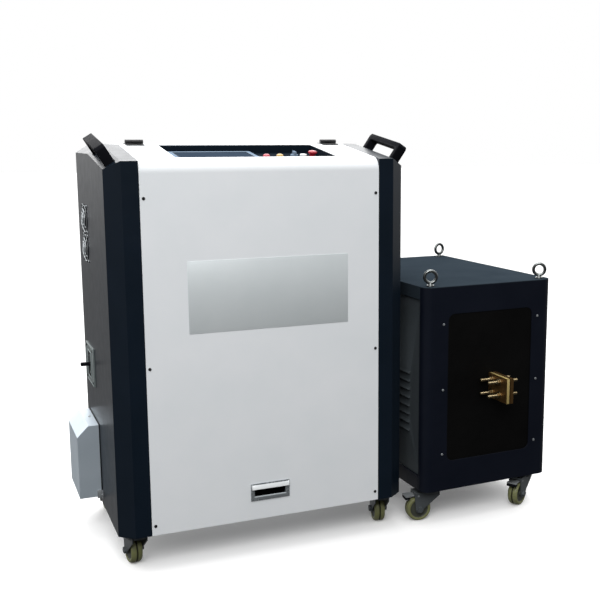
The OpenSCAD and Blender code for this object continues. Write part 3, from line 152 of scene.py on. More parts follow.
# %% Surround
world = bpy.data.worlds.new("studio")
scene.world = world
world.use_nodes = True
sky = world.node_tree
surround = sky.nodes["Background"]
direction = sky.nodes.new("ShaderNodeTexCoord")
along = sky.nodes.new("ShaderNodeSeparateXYZ")
sky.links.new(direction.outputs["Generated"], along.inputs["Vector"])


def ranged(axis, start, end, low, high):
    """Maps one axis of the direction from start and end to low and high."""
    node = sky.nodes.new("ShaderNodeMapRange")
    for socket, value in (("From Min", start), ("From Max", end), ("To Min", low),
                          ("To Max", high)):
        node.inputs[socket].default_value = value
    sky.links.new(along.outputs[axis], node.inputs["Value"])
    return node.outputs["Result"]


def joined(first, second, operation):
    """Adds or multiplies two values of the sky."""
    node = sky.nodes.new("ShaderNodeMath")
    node.operation = operation
    sky.links.new(first, node.inputs[0])
    sky.links.new(second, node.inputs[1])
    return node.outputs["Value"]


front_to_back = ranged("Y", -0.9, 0.5, 0.1, 0.9)
overhead = ranged("Z", 0.25, 0.9, 0.0, 0.85)
horizon = ranged("Z", -0.12, 0.04, 0.3, 1.0)
band_rise = ranged("Z", 0.08, 0.24, 0.0, 2.8)
band_fall = ranged("Z", 0.36, 0.56, 1.0, 0.0)
band_side = ranged("Y", 0.45, 0.85, 0.0, 1.0)
even = joined(joined(front_to_back, horizon, "MULTIPLY"), overhead, "ADD")
band = joined(joined(band_rise, band_fall, "MULTIPLY"), band_side, "MULTIPLY")
sky.links.new(joined(even, band, "ADD"), surround.inputs["Strength"])
backdrop = sky.nodes.new("ShaderNodeBackground")
backdrop.inputs["Strength"].default_value = 1.0
seen = sky.nodes.new("ShaderNodeLightPath")
choose = sky.nodes.new("ShaderNodeMixShader")
sky.links.new(seen.outputs["Is Camera Ray"], choose.inputs["Fac"])
sky.links.new(surround.outputs["Background"], choose.inputs[1])
sky.links.new(backdrop.outputs["Background"], choose.inputs[2])
sky.links.new(choose.outputs["Shader"], sky.nodes["World Output"].inputs["Surface"])
surround.inputs["Color"].default_value = (1, 1, 1, 1)
backdrop.inputs["Color"].default_value = (1, 1, 1, 1)
print("camera, floor and light are set")

# %% [markdown]
# Every finish is built from the same few nodes: a noise pattern on Object coordinates that
# shifts the colour a little, another that breaks up the gloss, and a fine one as bump. The
# scales are in metres, so orange peel in powder coat is a pattern a millimetre across.
# Image textures would be the alternative, but they need a file and a flat layout.

# %% Material helpers
PATTERN_LOW, PATTERN_HIGH = 0.3, 0.7
CLOUD_SCALE = 9
GLOSS_SCALE = 35


def srgb(*levels):
    """A colour given on a 0 to 255 scale, as the linear value the shader takes."""
    linear = [((v / 255 + 0.055) / 1.055) ** 2.4 if v > 10 else v / 255 / 12.92 for v in levels]
    return (*linear, 1)


def noise(material, scale, detail=2.0, stretch=(1, 1, 1)):
    """A noise pattern on Object coordinates, stretched along an axis where asked."""
    tree = material.node_tree
    coordinates = tree.nodes.new("ShaderNodeTexCoord")
    mapping = tree.nodes.new("ShaderNodeMapping")
    mapping.inputs["Scale"].default_value = stretch
    pattern = tree.nodes.new("ShaderNodeTexNoise")
    pattern.inputs["Scale"].default_value = scale
    pattern.inputs["Detail"].default_value = detail
    tree.links.new(coordinates.outputs["Object"], mapping.inputs["Vector"])
    tree.links.new(mapping.outputs["Vector"], pattern.inputs["Vector"])
    return pattern.outputs["Fac"]


def spread(material, value, low, high):
    """Maps the middle of a pattern's values to the range low to high."""
    node = material.node_tree.nodes.new("ShaderNodeMapRange")
    node.inputs["From Min"].default_value = PATTERN_LOW
    node.inputs["From Max"].default_value = PATTERN_HIGH
    node.inputs["To Min"].default_value = low
    node.inputs["To Max"].default_value = high
    material.node_tree.links.new(value, node.inputs["Value"])
    return node.outputs["Result"]


def tint(material, value, dark, light):
    """Mixes two colours by a pattern's value."""
    ramp = material.node_tree.nodes.new("ShaderNodeValToRGB")
    ramp.color_ramp.elements[0].position = PATTERN_LOW
    ramp.color_ramp.elements[0].color = dark
    ramp.color_ramp.elements[1].position = PATTERN_HIGH
    ramp.color_ramp.elements[1].color = light
    material.node_tree.links.new(value, ramp.inputs["Fac"])
    return ramp.outputs["Color"]


def bump(material, value, depth):
    """Raises the surface by a pattern, to a depth in metres."""
    node = material.node_tree.nodes.new("ShaderNodeBump")
    node.inputs["Strength"].default_value = 1.0
    node.inputs["Distance"].default_value = depth
    material.node_tree.links.new(value, node.inputs["Height"])
    return node.outputs["Normal"]


def finish(name, dark, light, rough, peel, peel_depth, metallic=0.0, stretch=(1, 1, 1),
           coat=0.0, shine=0.5):
    """A finish whose colour drifts between dark and light, with a broken gloss and a peel.

    The peel is a noise pattern of the given scale, raised by peel_depth metres. The stretch
    draws gloss and peel out along one axis, as a brush or a roller would.
    """
    material = bpy.data.materials.new(name)
    material.use_nodes = True
    shader = material.node_tree.nodes["Principled BSDF"]
    shader.inputs["Metallic"].default_value = metallic
    shader.inputs["Coat Weight"].default_value = coat
    shader.inputs["Specular IOR Level"].default_value = shine
    link = material.node_tree.links.new
    link(tint(material, noise(material, CLOUD_SCALE, 4), dark, light), shader.inputs["Base Color"])
    gloss = noise(material, GLOSS_SCALE, 3, stretch)
    link(spread(material, gloss, rough[0], rough[1]), shader.inputs["Roughness"])
    grain = noise(material, peel, 2, stretch)
    link(bump(material, grain, peel_depth), shader.inputs["Normal"])
    return material


# %% [markdown]
# The paints are powder coat: an even colour with a slight orange peel. The metals are zinc
# plate, chrome, copper and brass, some with a grain along the way they were rolled. Each row
# gives the two colours, the range of roughness, and the scale and depth of the peel.

# %% Finishes of the machine
navy_paint = finish("navy_paint", srgb(12, 22, 32), srgb(15, 25, 36), (0.32, 0.36), 1100,
                    0.000012, shine=0.26)
cart_paint = finish("cart_paint", srgb(14, 18, 28), srgb(17, 21, 31), (0.36, 0.42), 1100,
                    0.000012, shine=0.14)
# The cart top is the cart's navy made lighter and without gloss: the sheen the top shows is
# painted into its colour.
sheen_top_paint = finish("sheen_top_paint", srgb(42, 50, 57), srgb(47, 55, 62), (0.55, 0.6), 1100, 0.000012,
                   shine=0.0)
tray_paint = finish("tray_paint", srgb(18, 27, 36), srgb(21, 30, 39), (0.5, 0.56), 1100, 0.000012,
                    shine=0.03)
white_paint = finish("white_paint", srgb(229, 233, 236), srgb(233, 236, 239), (0.4, 0.46), 1100,
                     0.000015)
panel_paint = finish("panel_paint", srgb(62, 68, 72), srgb(68, 74, 78), (0.42, 0.5), 1100,
                     0.000015, shine=0.4)
hood_steel = finish("hood_steel", srgb(182, 194, 203), srgb(192, 203, 212), (0.36, 0.42), 900,
                    0.00001, 0.4, shine=0.2)
zinc = finish("zinc", srgb(150, 155, 158), srgb(170, 174, 177), (0.34, 0.46), 400, 0.000006, 0.55)
# The caster forks are zinc plate too, darkened here as painted shade from under the cabinets.
dark_zinc = finish("dark_zinc", srgb(70, 75, 78), srgb(92, 97, 100), (0.35, 0.5), 400, 0.00004,
                   0.4)
bolt_steel = finish("bolt_steel", srgb(96, 100, 100), srgb(132, 135, 134), (0.22, 0.36), 300,
                    0.00003, 1.0)
wire_chrome = finish("wire_chrome", srgb(196, 202, 205), srgb(210, 215, 218), (0.28, 0.36), 300,
                     0.00001, 0.7)
pull_metal = finish("pull_metal", srgb(150, 156, 160), srgb(168, 174, 178), (0.2, 0.3), 300,
                    0.00001, 0.6)
# The pull's lip: the frame's metal made near white, as a painted highlight.
lip_highlight_metal = finish("lip_highlight_metal", srgb(236, 240, 242), srgb(246, 248, 249), (0.16, 0.24), 300,
                   0.00001, 0.2, shine=1.0)
# A pale brass for strips that paint a highlight on the left bar's edges.
highlight_brass = finish("highlight_brass", srgb(196, 172, 108), srgb(214, 192, 128), (0.24, 0.34), 300,
                    0.00002, 0.35, (10, 1, 10), shine=0.8)
chrome = finish("chrome", srgb(190, 196, 200), srgb(212, 216, 219), (0.1, 0.18), 300, 0.00001, 1.0)
black_plastic = finish("black_plastic", srgb(15, 16, 20), srgb(20, 21, 25), (0.5, 0.58), 1400,
                       0.00004, shine=0.02)
black_paint = finish("black_paint", srgb(16, 16, 18), srgb(24, 24, 26), (0.4, 0.5), 900, 0.00003,
                     shine=0.4)
rubber = finish("rubber", srgb(12, 12, 13), srgb(20, 20, 21), (0.6, 0.75), 700, 0.00004, shine=0.3)
board_laminate = finish("board_laminate", srgb(4, 4, 4), srgb(7, 7, 7), (0.55, 0.65), 500,
                        0.00002, shine=0.1)
bezel_plastic = finish("bezel_plastic", srgb(112, 128, 146), srgb(120, 136, 154), (0.55, 0.62),
                       1400, 0.00003, shine=0.0)
label_metal = finish("label_metal", srgb(214, 221, 223), srgb(220, 226, 228), (0.36, 0.42), 260,
                     0.00001, 0.2, (1, 1, 12))
copper = finish("copper", srgb(112, 82, 48), srgb(138, 106, 64), (0.26, 0.4), 220, 0.00003, 0.85,
                (10, 1, 10), shine=0.7)
brass = finish("brass", srgb(126, 112, 84), srgb(156, 142, 112), (0.28, 0.4), 300, 0.00003, 1.0)
aluminium = finish("aluminium", srgb(176, 180, 182), srgb(200, 203, 205), (0.25, 0.38), 240,
                   0.00003, 1.0, (1, 12, 1))
core_steel = finish("core_steel", srgb(62, 64, 68), srgb(92, 94, 98), (0.4, 0.55), 160, 0.0001,
                    0.8, (1, 1, 22))
winding = finish("winding", srgb(128, 62, 30), srgb(172, 96, 52), (0.3, 0.45), 90, 0.0006, 0.7,
                 (1, 1, 14))
module_plastic = finish("module_plastic", srgb(196, 190, 170), srgb(212, 207, 190), (0.45, 0.55),
                        900, 0.00004)
circuit_laminate = finish("circuit_laminate", srgb(14, 66, 36), srgb(22, 88, 50), (0.28, 0.4),
                          500, 0.00005)
red_plastic = finish("red_plastic", srgb(158, 20, 38), srgb(176, 28, 46), (0.26, 0.34), 900,
                     0.00001, coat=0.2)
lamp_red = finish("lamp_red", srgb(178, 66, 80), srgb(192, 80, 92), (0.3, 0.38), 900, 0.00001,
                  coat=0.2)
amber_plastic = finish("amber_plastic", srgb(196, 158, 92), srgb(208, 172, 108), (0.3, 0.38), 900,
                       0.00001, coat=0.3)
breaker_plastic = finish("breaker_plastic", srgb(104, 112, 112), srgb(112, 120, 120), (0.42, 0.5),
                         1400, 0.00003, shine=0.3)
rim_plastic = finish("rim_plastic", srgb(132, 142, 142), srgb(140, 150, 150), (0.4, 0.48), 1400,
                     0.00003, shine=0.3)
cup_black = finish("cup_black", srgb(3, 3, 4), srgb(6, 6, 7), (0.6, 0.7), 900, 0.00002, shine=0.05)
# A darker copy of the olive tread: painted shade in the wheel's groove.
groove_shade = finish("groove_shade", srgb(44, 45, 28), srgb(54, 55, 36), (0.6, 0.7), 500,
                      0.00005, shine=0.2)
white_plastic = finish("white_plastic", srgb(226, 230, 230), srgb(236, 238, 238), (0.25, 0.35),
                       900, 0.00001)
print(len(bpy.data.materials), "finishes")

# %% [markdown]
# The caster tyres are olive polyurethane, a slightly cloudy plastic that lets some light
# in. Subsurface scattering gives that depth; a plain diffuse colour looks like painted wood.

# %% Polyurethane and screen glass
polyurethane = finish("polyurethane", srgb(108, 110, 74), srgb(126, 128, 90), (0.36, 0.5), 500,
                      0.00005, shine=0.3)
soft_shader = polyurethane.node_tree.nodes["Principled BSDF"]
soft_shader.inputs["Subsurface Weight"].default_value = 0.4
soft_shader.inputs["Subsurface Radius"].default_value = (0.006, 0.006, 0.003)
screen_glass = finish("screen_glass", srgb(44, 55, 68), srgb(49, 60, 74), (0.34, 0.4), 60,
                      0.000001, shine=0.0)
glow = screen_glass.node_tree.nodes["Principled BSDF"]
glow.inputs["Emission Color"].default_value = srgb(168, 184, 202)
glow.inputs["Emission Strength"].default_value = 0.02

# %% [markdown]
# Many CAD pieces have the right shape but razor edges. Real folded sheet and moulded parts
# have small radii that catch the light. So a copy of such a node is merged, its flat areas
# are cleaned, and a narrow bevel rounds its edges. The copy then replaces the node on screen.

# %% Dressing CAD nodes
SHARP_DEGREES = 32


def shade(mesh, degrees=SHARP_DEGREES):
    """Smooth faces, with edges kept sharp where the surface turns by more than the angle."""
    for face in mesh.polygons:
        face.use_smooth = True
    mesh.set_sharp_from_angle(angle=math.radians(degrees))


def dress(node, material, body, radius):
    """A merged copy of a CAD node with its edges rounded, in its finish."""
    shape = bmesh.new()
    shape.from_mesh(nodes[node].data)
    bmesh.ops.remove_doubles(shape, verts=shape.verts, dist=0.000005)
    bmesh.ops.dissolve_limit(shape, angle_limit=math.radians(0.6), verts=shape.verts,
                             edges=shape.edges, delimit={"NORMAL"})
    mesh = bpy.data.meshes.new(node + "_dressed")
    shape.to_mesh(mesh)
    shape.free()
    mesh.materials.append(material)
    shade(mesh)
    piece = bpy.data.objects.new(node + "_dressed", mesh)
    bpy.context.collection.objects.link(piece)
    edge = piece.modifiers.new("edge", "BEVEL")
    edge.width = radius / 1000
    edge.segments = 2
    edge.limit_method = "ANGLE"
    edge.angle_limit = math.radians(SHARP_DEGREES)
    edge.harden_normals = True
    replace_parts(piece, node)
    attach(piece, body)
    return piece


def paint(node, material):
    """Gives a CAD node that stays on screen its finish."""
    data = nodes[node].data
    data.materials.clear()
    data.materials.append(material)


def piece_from(shape, name, material, body, place, degrees=SHARP_DEGREES):
    """Turns a bmesh in millimetres of its own frame into a piece that rides on a body."""
    bmesh.ops.transform(shape, matrix=place, verts=shape.verts)
    mesh = bpy.data.meshes.new(name)
    shape.to_mesh(mesh)
    shape.free()
    for one in material if isinstance(material, (list, tuple)) else [material]:
        mesh.materials.append(one)
    shade(mesh, degrees)
    piece = bpy.data.objects.new(name, mesh)
    bpy.context.collection.objects.link(piece)
    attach(piece, body)
    return piece


# %% [markdown]
# The folded sheet panels come first. Their radii are those of a press brake, about a
# millimetre, and the paint rounds the cut edges further.

# %% Panels of both cabinets
for node, material, body, radius in (
    ("left_end_cap", navy_paint, "cabinet", 1.0),
    ("right_end_cap", navy_paint, "cabinet", 1.0),
    ("rear_panel", navy_paint, "cabinet", 0.5),
    ("rear_top_cover", white_paint, "cabinet", 0.6),
    ("front_cover", white_paint, "cover", 0.6),
    ("console_tray", tray_paint, "cabinet", 0.8),
    ("cable_hood", hood_steel, "cabinet", 0.8),
    ("cart_front", cart_paint, "cart", 0.8),
    ("cart_top", sheen_top_paint, "cart", 0.7),
    ("cart_frame", cart_paint, "cart", 0.8),
    ("cart_panels", panel_paint, "cart", 0.4),
    ("cabinet_frame", zinc, "cabinet", 0.8),
    ("touch_screen", bezel_plastic, "cabinet", 1.2),
    ("output_bars", copper, "cart", 0.6),
):
    dress(node, material, body, radius)

# %% [markdown]
# The nodes inside the cabinets keep their CAD shape. They show when the cover is open, so
# each still gets the finish of the real thing.

# %% Finishes of the inner nodes
for node, material in {
    "fan_frames": black_plastic, "cabinet_caster_plates": zinc, "cold_plate": aluminium,
    "power_modules": module_plastic, "capacitor_bank": aluminium, "dc_choke": winding,
    "control_board": circuit_laminate, "water_fittings": brass,
    "hinge_fixed_leaves": black_paint, "hinge_moving_leaves": black_paint,
    "fan_rotor_upper": black_plastic, "fan_rotor_lower": black_plastic,
    "window_board": board_laminate, "transformer_core": core_steel,
    "transformer_coils": winding, "cart_caster_plates": zinc,
}.items():
    paint(node, material)

# %% [markdown]
# The two output terminals at the back are copper studs in a black insulating plate. They are
# one CAD node, so the dressed copy gets two materials, told apart by the distance of each
# face from the studs' axes.

# %% Output terminals
STUD_XS = (-155, -65)
STUD_Z = 200
STUD_REACH = 12
terminals = dress("output_terminals", copper, "cabinet", 0.4)
terminals.data.materials.append(board_laminate)
to_cabinet = CABINET.inverted()
for face in terminals.data.polygons:
    spot = to_cabinet @ face.center
    if min(math.hypot(spot.x - x, spot.z - STUD_Z) for x in STUD_XS) > STUD_REACH:
        face.material_index = 1
print("terminals in two materials")

# %% [markdown]
# Knobs, screws, wheels and lamps are turned parts. Each is drawn as a half profile of
# (radius, height) points and spun about Z, as on a lathe. A full spin merges its seam, and
# merging doubles closes the pole where a profile ends on the axis.

# %% Turned parts


def turned(profile, steps=48):
    """A shape turned on a lathe: a profile of (radius, height) points spun about Z."""
    shape = bmesh.new()
    points = [shape.verts.new((radius, 0, height)) for radius, height in profile]
    edges = [shape.edges.new(pair) for pair in zip(points, points[1:])]
    bmesh.ops.spin(shape, geom=points + edges, cent=(0, 0, 0), axis=(0, 0, 1),
                   angle=2 * math.pi, steps=steps, use_merge=True)
    bmesh.ops.remove_doubles(shape, verts=shape.verts, dist=0.001)
    bmesh.ops.recalc_face_normals(shape, faces=shape.faces)
    return shape


def slab(width, depth, height, radius=0.0, segments=2):
    """A block centred on X and Y that stands on Z = 0, with its edges rounded."""
    shape = bmesh.new()
    bmesh.ops.create_cube(shape, size=1)
    bmesh.ops.scale(shape, vec=(width, depth, height), verts=shape.verts)
    bmesh.ops.translate(shape, vec=(0, 0, height / 2), verts=shape.verts)
    if radius:
        bmesh.ops.bevel(shape, geom=shape.edges[:], offset=radius, segments=segments,
                        profile=0.5, affect="EDGES", material=-1)
    return shape


def add(target, part, place=Matrix()):
    """Puts a shape into another at a place, and frees it."""
    bmesh.ops.transform(part, matrix=place, verts=part.verts)
    bmesh.ops.recalc_face_normals(part, faces=part.faces)
    carrier = bpy.data.meshes.new("carrier")
    part.to_mesh(carrier)
    part.free()
    target.from_mesh(carrier)
    bpy.data.meshes.remove(carrier)
    return target


def at(x, y, z):
    """A shift in millimetres."""
    return Matrix.Translation((x, y, z))


def turn(degrees, axis):
    """A turn about X, Y or Z."""
    return Matrix.Rotation(math.radians(degrees), 4, axis)


FACING_FRONT = turn(90, "X")
FACING_LEFT = turn(-90, "Y")
FACING_RIGHT = turn(90, "Y")

# %% [markdown]
# Small screws hold the cover and the board. A pan head is a turned dome with two crossed
# bars on its crown that read as its recess, which needs far fewer faces than a boolean cut.

# %% Screws


def pan_head(radius, height):
    """A pan head screw with a cross recess, standing on Z = 0."""
    dome = [(0, height), (radius * 0.55, height), (radius * 0.85, height * 0.82),
            (radius, height * 0.4), (radius, 0), (0, 0)]
    head = turned(dome, 24)
    for angle in (45, 135):
        add(head, slab(radius * 1.05, radius * 0.26, height * 0.08),
            turn(angle, "Z") @ at(0, 0, height * 0.97))
    return head


def hex_head(radius, height, washer=1.35, washer_t=0.25):
    """A hexagon head or nut on its washer, with a chamfered crown."""
    head = bmesh.new()
    bmesh.ops.create_cone(head, cap_ends=True, segments=6, radius1=radius, radius2=radius,
                          depth=height)
    bmesh.ops.translate(head, vec=(0, 0, height / 2 + radius * washer_t), verts=head.verts)
    bmesh.ops.bevel(head, geom=head.edges[:], offset=radius * 0.07, segments=2, profile=0.5,
                    affect="EDGES", material=-1)
    rim = radius * washer
    add(head, turned([(0, radius * washer_t), (rim * 0.96, radius * washer_t),
                      (rim, radius * washer_t * 0.6), (rim, 0), (0, 0)], 32))
    return head


COVER_SCREW_HEIGHTS = (878, 446, 26)
WINDOW_SCREW_XS = (61, 385)
WINDOW_SCREW_HEIGHTS = (499, 305.5, 112)
cover_screws = bmesh.new()
for side in (-1, 1):
    for height in COVER_SCREW_HEIGHTS:
        add(cover_screws, pan_head(4.2, 2.2),
            at(side * (HALF_COVER - 10), 0, height) @ FACING_FRONT)
piece_from(cover_screws, "cover_screws", black_paint, "cover", CABINET)

window_screws = bmesh.new()
for x in WINDOW_SCREW_XS:
    for height in WINDOW_SCREW_HEIGHTS:
        add(window_screws, pan_head(3.6, 2), at(x, 0, height) @ FACING_FRONT)
piece_from(window_screws, "window_screws", zinc, "cart", CART)
print("screws on the cover and round the window")

# %% [markdown]
# The plate on the cover is left bare. On the real machine it is a thin sheet of metal with
# a fine satin finish, so it is a rounded slab whose middle stands a little proud of its rim.

# %% Bare plate on the cover
PLATE_W, PLATE_H, PLATE_T, PLATE_RIM = 441, 188, 1.0, 5
PLATE_PLACE = (10.5, 0, 622.5)
plate = slab(PLATE_W, PLATE_H, PLATE_T, 0.35)
add(plate, slab(PLATE_W - 2 * PLATE_RIM, PLATE_H - 2 * PLATE_RIM, 0.25, 0.08), at(0, 0, PLATE_T))
piece_from(plate, "cover_plate", label_metal, "cover", CABINET @ at(*PLATE_PLACE) @ FACING_FRONT)

# %% [markdown]
# The console sits in a shallow tray under a cut-out of the cover. The touch screen gets a
# glass panel in its bezel. Lamps and switches share one panel hole size, so their collars
# are the same turned ring.

# %% Touch screen glass
SCREEN = (-83, 162.5)
FLOOR_V = -24
GLASS_W, GLASS_D = 204, 140
SEAL_OUT = 1.2
glass = slab(GLASS_W, GLASS_D, 1.6, 0.5)
piece_from(glass, "screen_panel", screen_glass, "cabinet", SLOPING @ at(*SCREEN, FLOOR_V + 6))
lip = bmesh.new()
for side in (-1, 1):
    add(lip, slab(GLASS_W + 5, 2.2, 2.4, 0.5), at(0, side * (GLASS_D / 2 + SEAL_OUT), 0))
    add(lip, slab(2.2, GLASS_D + 4, 2.4, 0.5), at(side * (GLASS_W / 2 + SEAL_OUT), 0, 0))
piece_from(lip, "screen_seal", rubber, "cabinet", SLOPING @ at(*SCREEN, FLOOR_V + 5.8))

# %% Lamps, selector and buttons
SWITCH_U = 166
COLLAR_TOP = FLOOR_V + 3
RED_U, AMBER_U, SELECTOR_U, BUTTON_U, STOP_U = 59, 98, 140, 167, 194


def on_console(x):
    """The place of a switch on the console."""
    return SLOPING @ at(x, SWITCH_U, COLLAR_TOP)


def collar(radius, hole):
    """The threaded ring that clamps a switch in its hole."""
    height = COLLAR_TOP - FLOOR_V
    return turned([(hole, 0), (hole, height), (hole + 0.6, height + 0.6),
                   (radius - 0.9, height + 0.4), (radius, height - 0.5), (radius, 0), (hole, 0)])


rings = bmesh.new()
for x in (RED_U, AMBER_U, SELECTOR_U, BUTTON_U, STOP_U):
    add(rings, collar(12.9 if x <= AMBER_U else 12.2, 10.2), at(x, SWITCH_U, FLOOR_V))
piece_from(rings, "switch_collars", chrome, "cabinet", SLOPING)
for x, name, material in ((RED_U, "red_lamp", lamp_red), (AMBER_U, "amber_lamp", amber_plastic)):
    lens = turned([(0, 9.6), (3, 9.5), (6, 8.9), (8.2, 7.6), (9.5, 5.6), (9.9, 3), (9.9, -2.6),
                   (0, -2.6)])
    lamp = piece_from(lens, name, material, "cabinet", on_console(x))
    if name == "red_lamp":
        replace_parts(lamp, "pilot_lamps")
knob = turned([(0, 8.4), (9.2, 8.4), (10.6, 7.4), (11, 5.5), (11, 0.4), (0, 0.4)])
grip = slab(6.6, 21, 9, 1.4, 3)
add(knob, grip, at(0, 0, 7.6))
add(knob, slab(1.2, 7, 0.5, 0.2), at(0, 6, 16.5))
add(knob, turned([(0, 1), (8, 1), (8, -6.9), (0, -6.9)], 32))
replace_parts(piece_from(knob, "selector", bezel_plastic, "selector", on_console(SELECTOR_U)),
            "selector_knob")
button = turned([(0, 8.7), (6.5, 8.8), (8.6, 8.4), (9.7, 7.3), (10, 5.6), (10, 4), (8, 4),
                 (8, -6.9), (0, -6.9)])
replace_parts(piece_from(button, "start_button", white_plastic, "button", on_console(BUTTON_U)),
            "push_button")
mushroom = turned([(0, 18.6), (5, 18.4), (9.2, 17.4), (11.3, 15.6), (12, 13.2), (11.9, 10.6),
                   (10.6, 8.6), (8, 6.4), (8, -6.9), (0, -6.9)], 56)
for angle in range(0, 360, 30):
    add(mushroom, slab(1.1, 1.4, 3.6, 0.4), turn(angle, "Z") @ at(0, 11.9, 11))
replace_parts(piece_from(mushroom, "stop_mushroom", red_plastic, "estop", on_console(STOP_U)),
            "estop_button")
print("console fitted")

# %% [markdown]
# A carry handle is one thick moulded U. It is built from its side outline, so its corners
# can be rounded in one bevel, instead of from a bent tube that would pinch at the corners.

# %% Carry handles
HANDLE = dict(length=200, height=50, width=27, bar=17.6)
HANDLE_OUT = 62
HANDLE_Y = 133
HANDLE_DROP = 12.3
CHAMFER_TILT = math.degrees(math.atan2(24.6 * math.cos(SLOPE), 39))


def moulded_handle(length, height, width, bar):
    """A U-shaped grip that stands on Z = 0, with X across and Y along it."""
    half, inner = length / 2, length / 2 - bar
    cut = 7
    outline = [(-half, 0), (-half, height - cut), (-half + cut, height), (half - cut, height),
               (half, height - cut), (half, 0), (inner, 0), (inner, height - bar - cut / 2),
               (inner - cut / 2, height - bar), (-inner + cut / 2, height - bar),
               (-inner, height - bar - cut / 2), (-inner, 0)]
    shape = bmesh.new()
    face = shape.faces.new([shape.verts.new((-width / 2, y, z)) for y, z in outline])
    solid = bmesh.ops.extrude_face_region(shape, geom=[face])
    bmesh.ops.translate(shape, vec=(width, 0, 0),
                        verts=[v for v in solid["geom"] if isinstance(v, bmesh.types.BMVert)])
    bmesh.ops.recalc_face_normals(shape, faces=shape.faces)
    standing = [e for e in shape.edges if max(v.co.z for v in e.verts) > 0.01]
    bmesh.ops.bevel(shape, geom=standing, offset=2.6, segments=3, profile=0.5, affect="EDGES",
                    material=-1, clamp_overlap=True)
    return shape


handles = bmesh.new()
for side in (-1, 1):
    foot = at(side * (HALF_COVER + HANDLE_OUT), HANDLE_Y,
              FRONT_H + HANDLE_Y * math.tan(SLOPE) - HANDLE_DROP)
    lean = turn(SLOPE_DEGREES, "X") @ turn(side * CHAMFER_TILT, "Y")
    add(handles, moulded_handle(**HANDLE), foot @ lean)
    for end in (-1, 1):
        add(handles, slab(30, 21, 1.0, 0.4), foot @ lean @ at(0, end * 91.2, -0.2))
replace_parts(piece_from(handles, "grips", black_plastic, "cabinet", CABINET, 40), "carry_handles")

# %% [markdown]
# A fan guard is bent from round wire: four rings on a dome, crossed by four spokes that end
# in screw eyes. A ring is a circle swept round the axis, so a spin makes it.

# %% Fan guards
FAN = dict(y=376, z=722, pitch=81, bore=38, eye=50.5)
WIRE_R = 1.25
RINGS = ((0.98, 2.6), (0.72, 6.6), (0.46, 9.0), (0.2, 9.8))


def round_ring(radius, height, thickness, sides):
    """A ring of round section about Z, its centre at a height."""
    ring = bmesh.new()
    bmesh.ops.create_circle(ring, cap_ends=False, segments=sides, radius=thickness)
    bmesh.ops.rotate(ring, cent=(0, 0, 0), matrix=Matrix.Rotation(math.pi / 2, 3, "X"),
                     verts=ring.verts)
    bmesh.ops.translate(ring, vec=(radius, 0, height), verts=ring.verts)
    bmesh.ops.spin(ring, geom=ring.verts[:] + ring.edges[:], cent=(0, 0, 0), axis=(0, 0, 1),
                   angle=2 * math.pi, steps=48, use_merge=True)
    bmesh.ops.recalc_face_normals(ring, faces=ring.faces)
    return ring


def wire_ring(radius, height):
    """A ring of the guard's wire that hangs below a height."""
    return round_ring(radius, height - WIRE_R, WIRE_R, 10)


def straight_wire(start, end):
    """A round wire between two points."""
    start, end = Vector(start), Vector(end)
    rod = bmesh.new()
    bmesh.ops.create_cone(rod, cap_ends=True, segments=10, radius1=WIRE_R, radius2=WIRE_R,
                          depth=(end - start).length)
    bmesh.ops.rotate(rod, cent=(0, 0, 0), verts=rod.verts,
                     matrix=(end - start).to_track_quat("Z", "Y").to_matrix())
    bmesh.ops.translate(rod, vec=(start + end) / 2, verts=rod.verts)
    return rod


def fan_guard():
    """The rings, spokes and screw eyes of one guard, standing on Z = 0."""
    guard = bmesh.new()
    for share, rise in RINGS:
        add(guard, wire_ring(FAN["bore"] * share, rise))
    for quarter in range(4):
        spin = turn(45 + 90 * quarter, "Z")
        path = [(46.5, 0, 1.1)] + [(FAN["bore"] * share, 0, rise - 2.4) for share, rise in RINGS]
        for one, other in zip(path, path[1:]):
            add(guard, straight_wire(one, other), spin)
        add(guard, wire_ring(3.2, 2.5), spin @ at(FAN["eye"], 0, 0))
    return guard


FAN_PLACES = [at(-HALF_CABINET, FAN["y"], FAN["z"] + k * FAN["pitch"]) @ FACING_LEFT
              for k in (0, 1)]
both = bmesh.new()
for place in FAN_PLACES:
    add(both, fan_guard(), place)
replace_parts(piece_from(both, "wire_guards", wire_chrome, "cabinet", CABINET), "fan_guards")

# %% [markdown]
# Under each guard lies a thin rounded ring round the fan's bore, and a small pad with a
# screw at each corner, where the guard's eyes sit.

# %% Fan flanges
flanges = bmesh.new()
for place in FAN_PLACES:
    add(flanges, turned([(38, 0), (38, 2), (39.2, 2.2), (40, 1.4), (40, 0), (38, 0)], 56), place)
    for corner in range(4):
        foot = place @ turn(45 + 90 * corner, "Z")
        add(flanges, slab(12, 5, 1.6, 0.6), foot @ at(45.5, 0, 0))
        add(flanges, pan_head(3.2, 1.6), foot @ at(FAN["eye"], 0, 2.2))
piece_from(flanges, "fan_rims", black_plastic, "cabinet", CABINET)

# %% [markdown]
# The circuit breaker's plate is a moulding with a raised frame round the slot of its
# toggle. The toggle itself is a lever with rounded edges that rides on its own body.

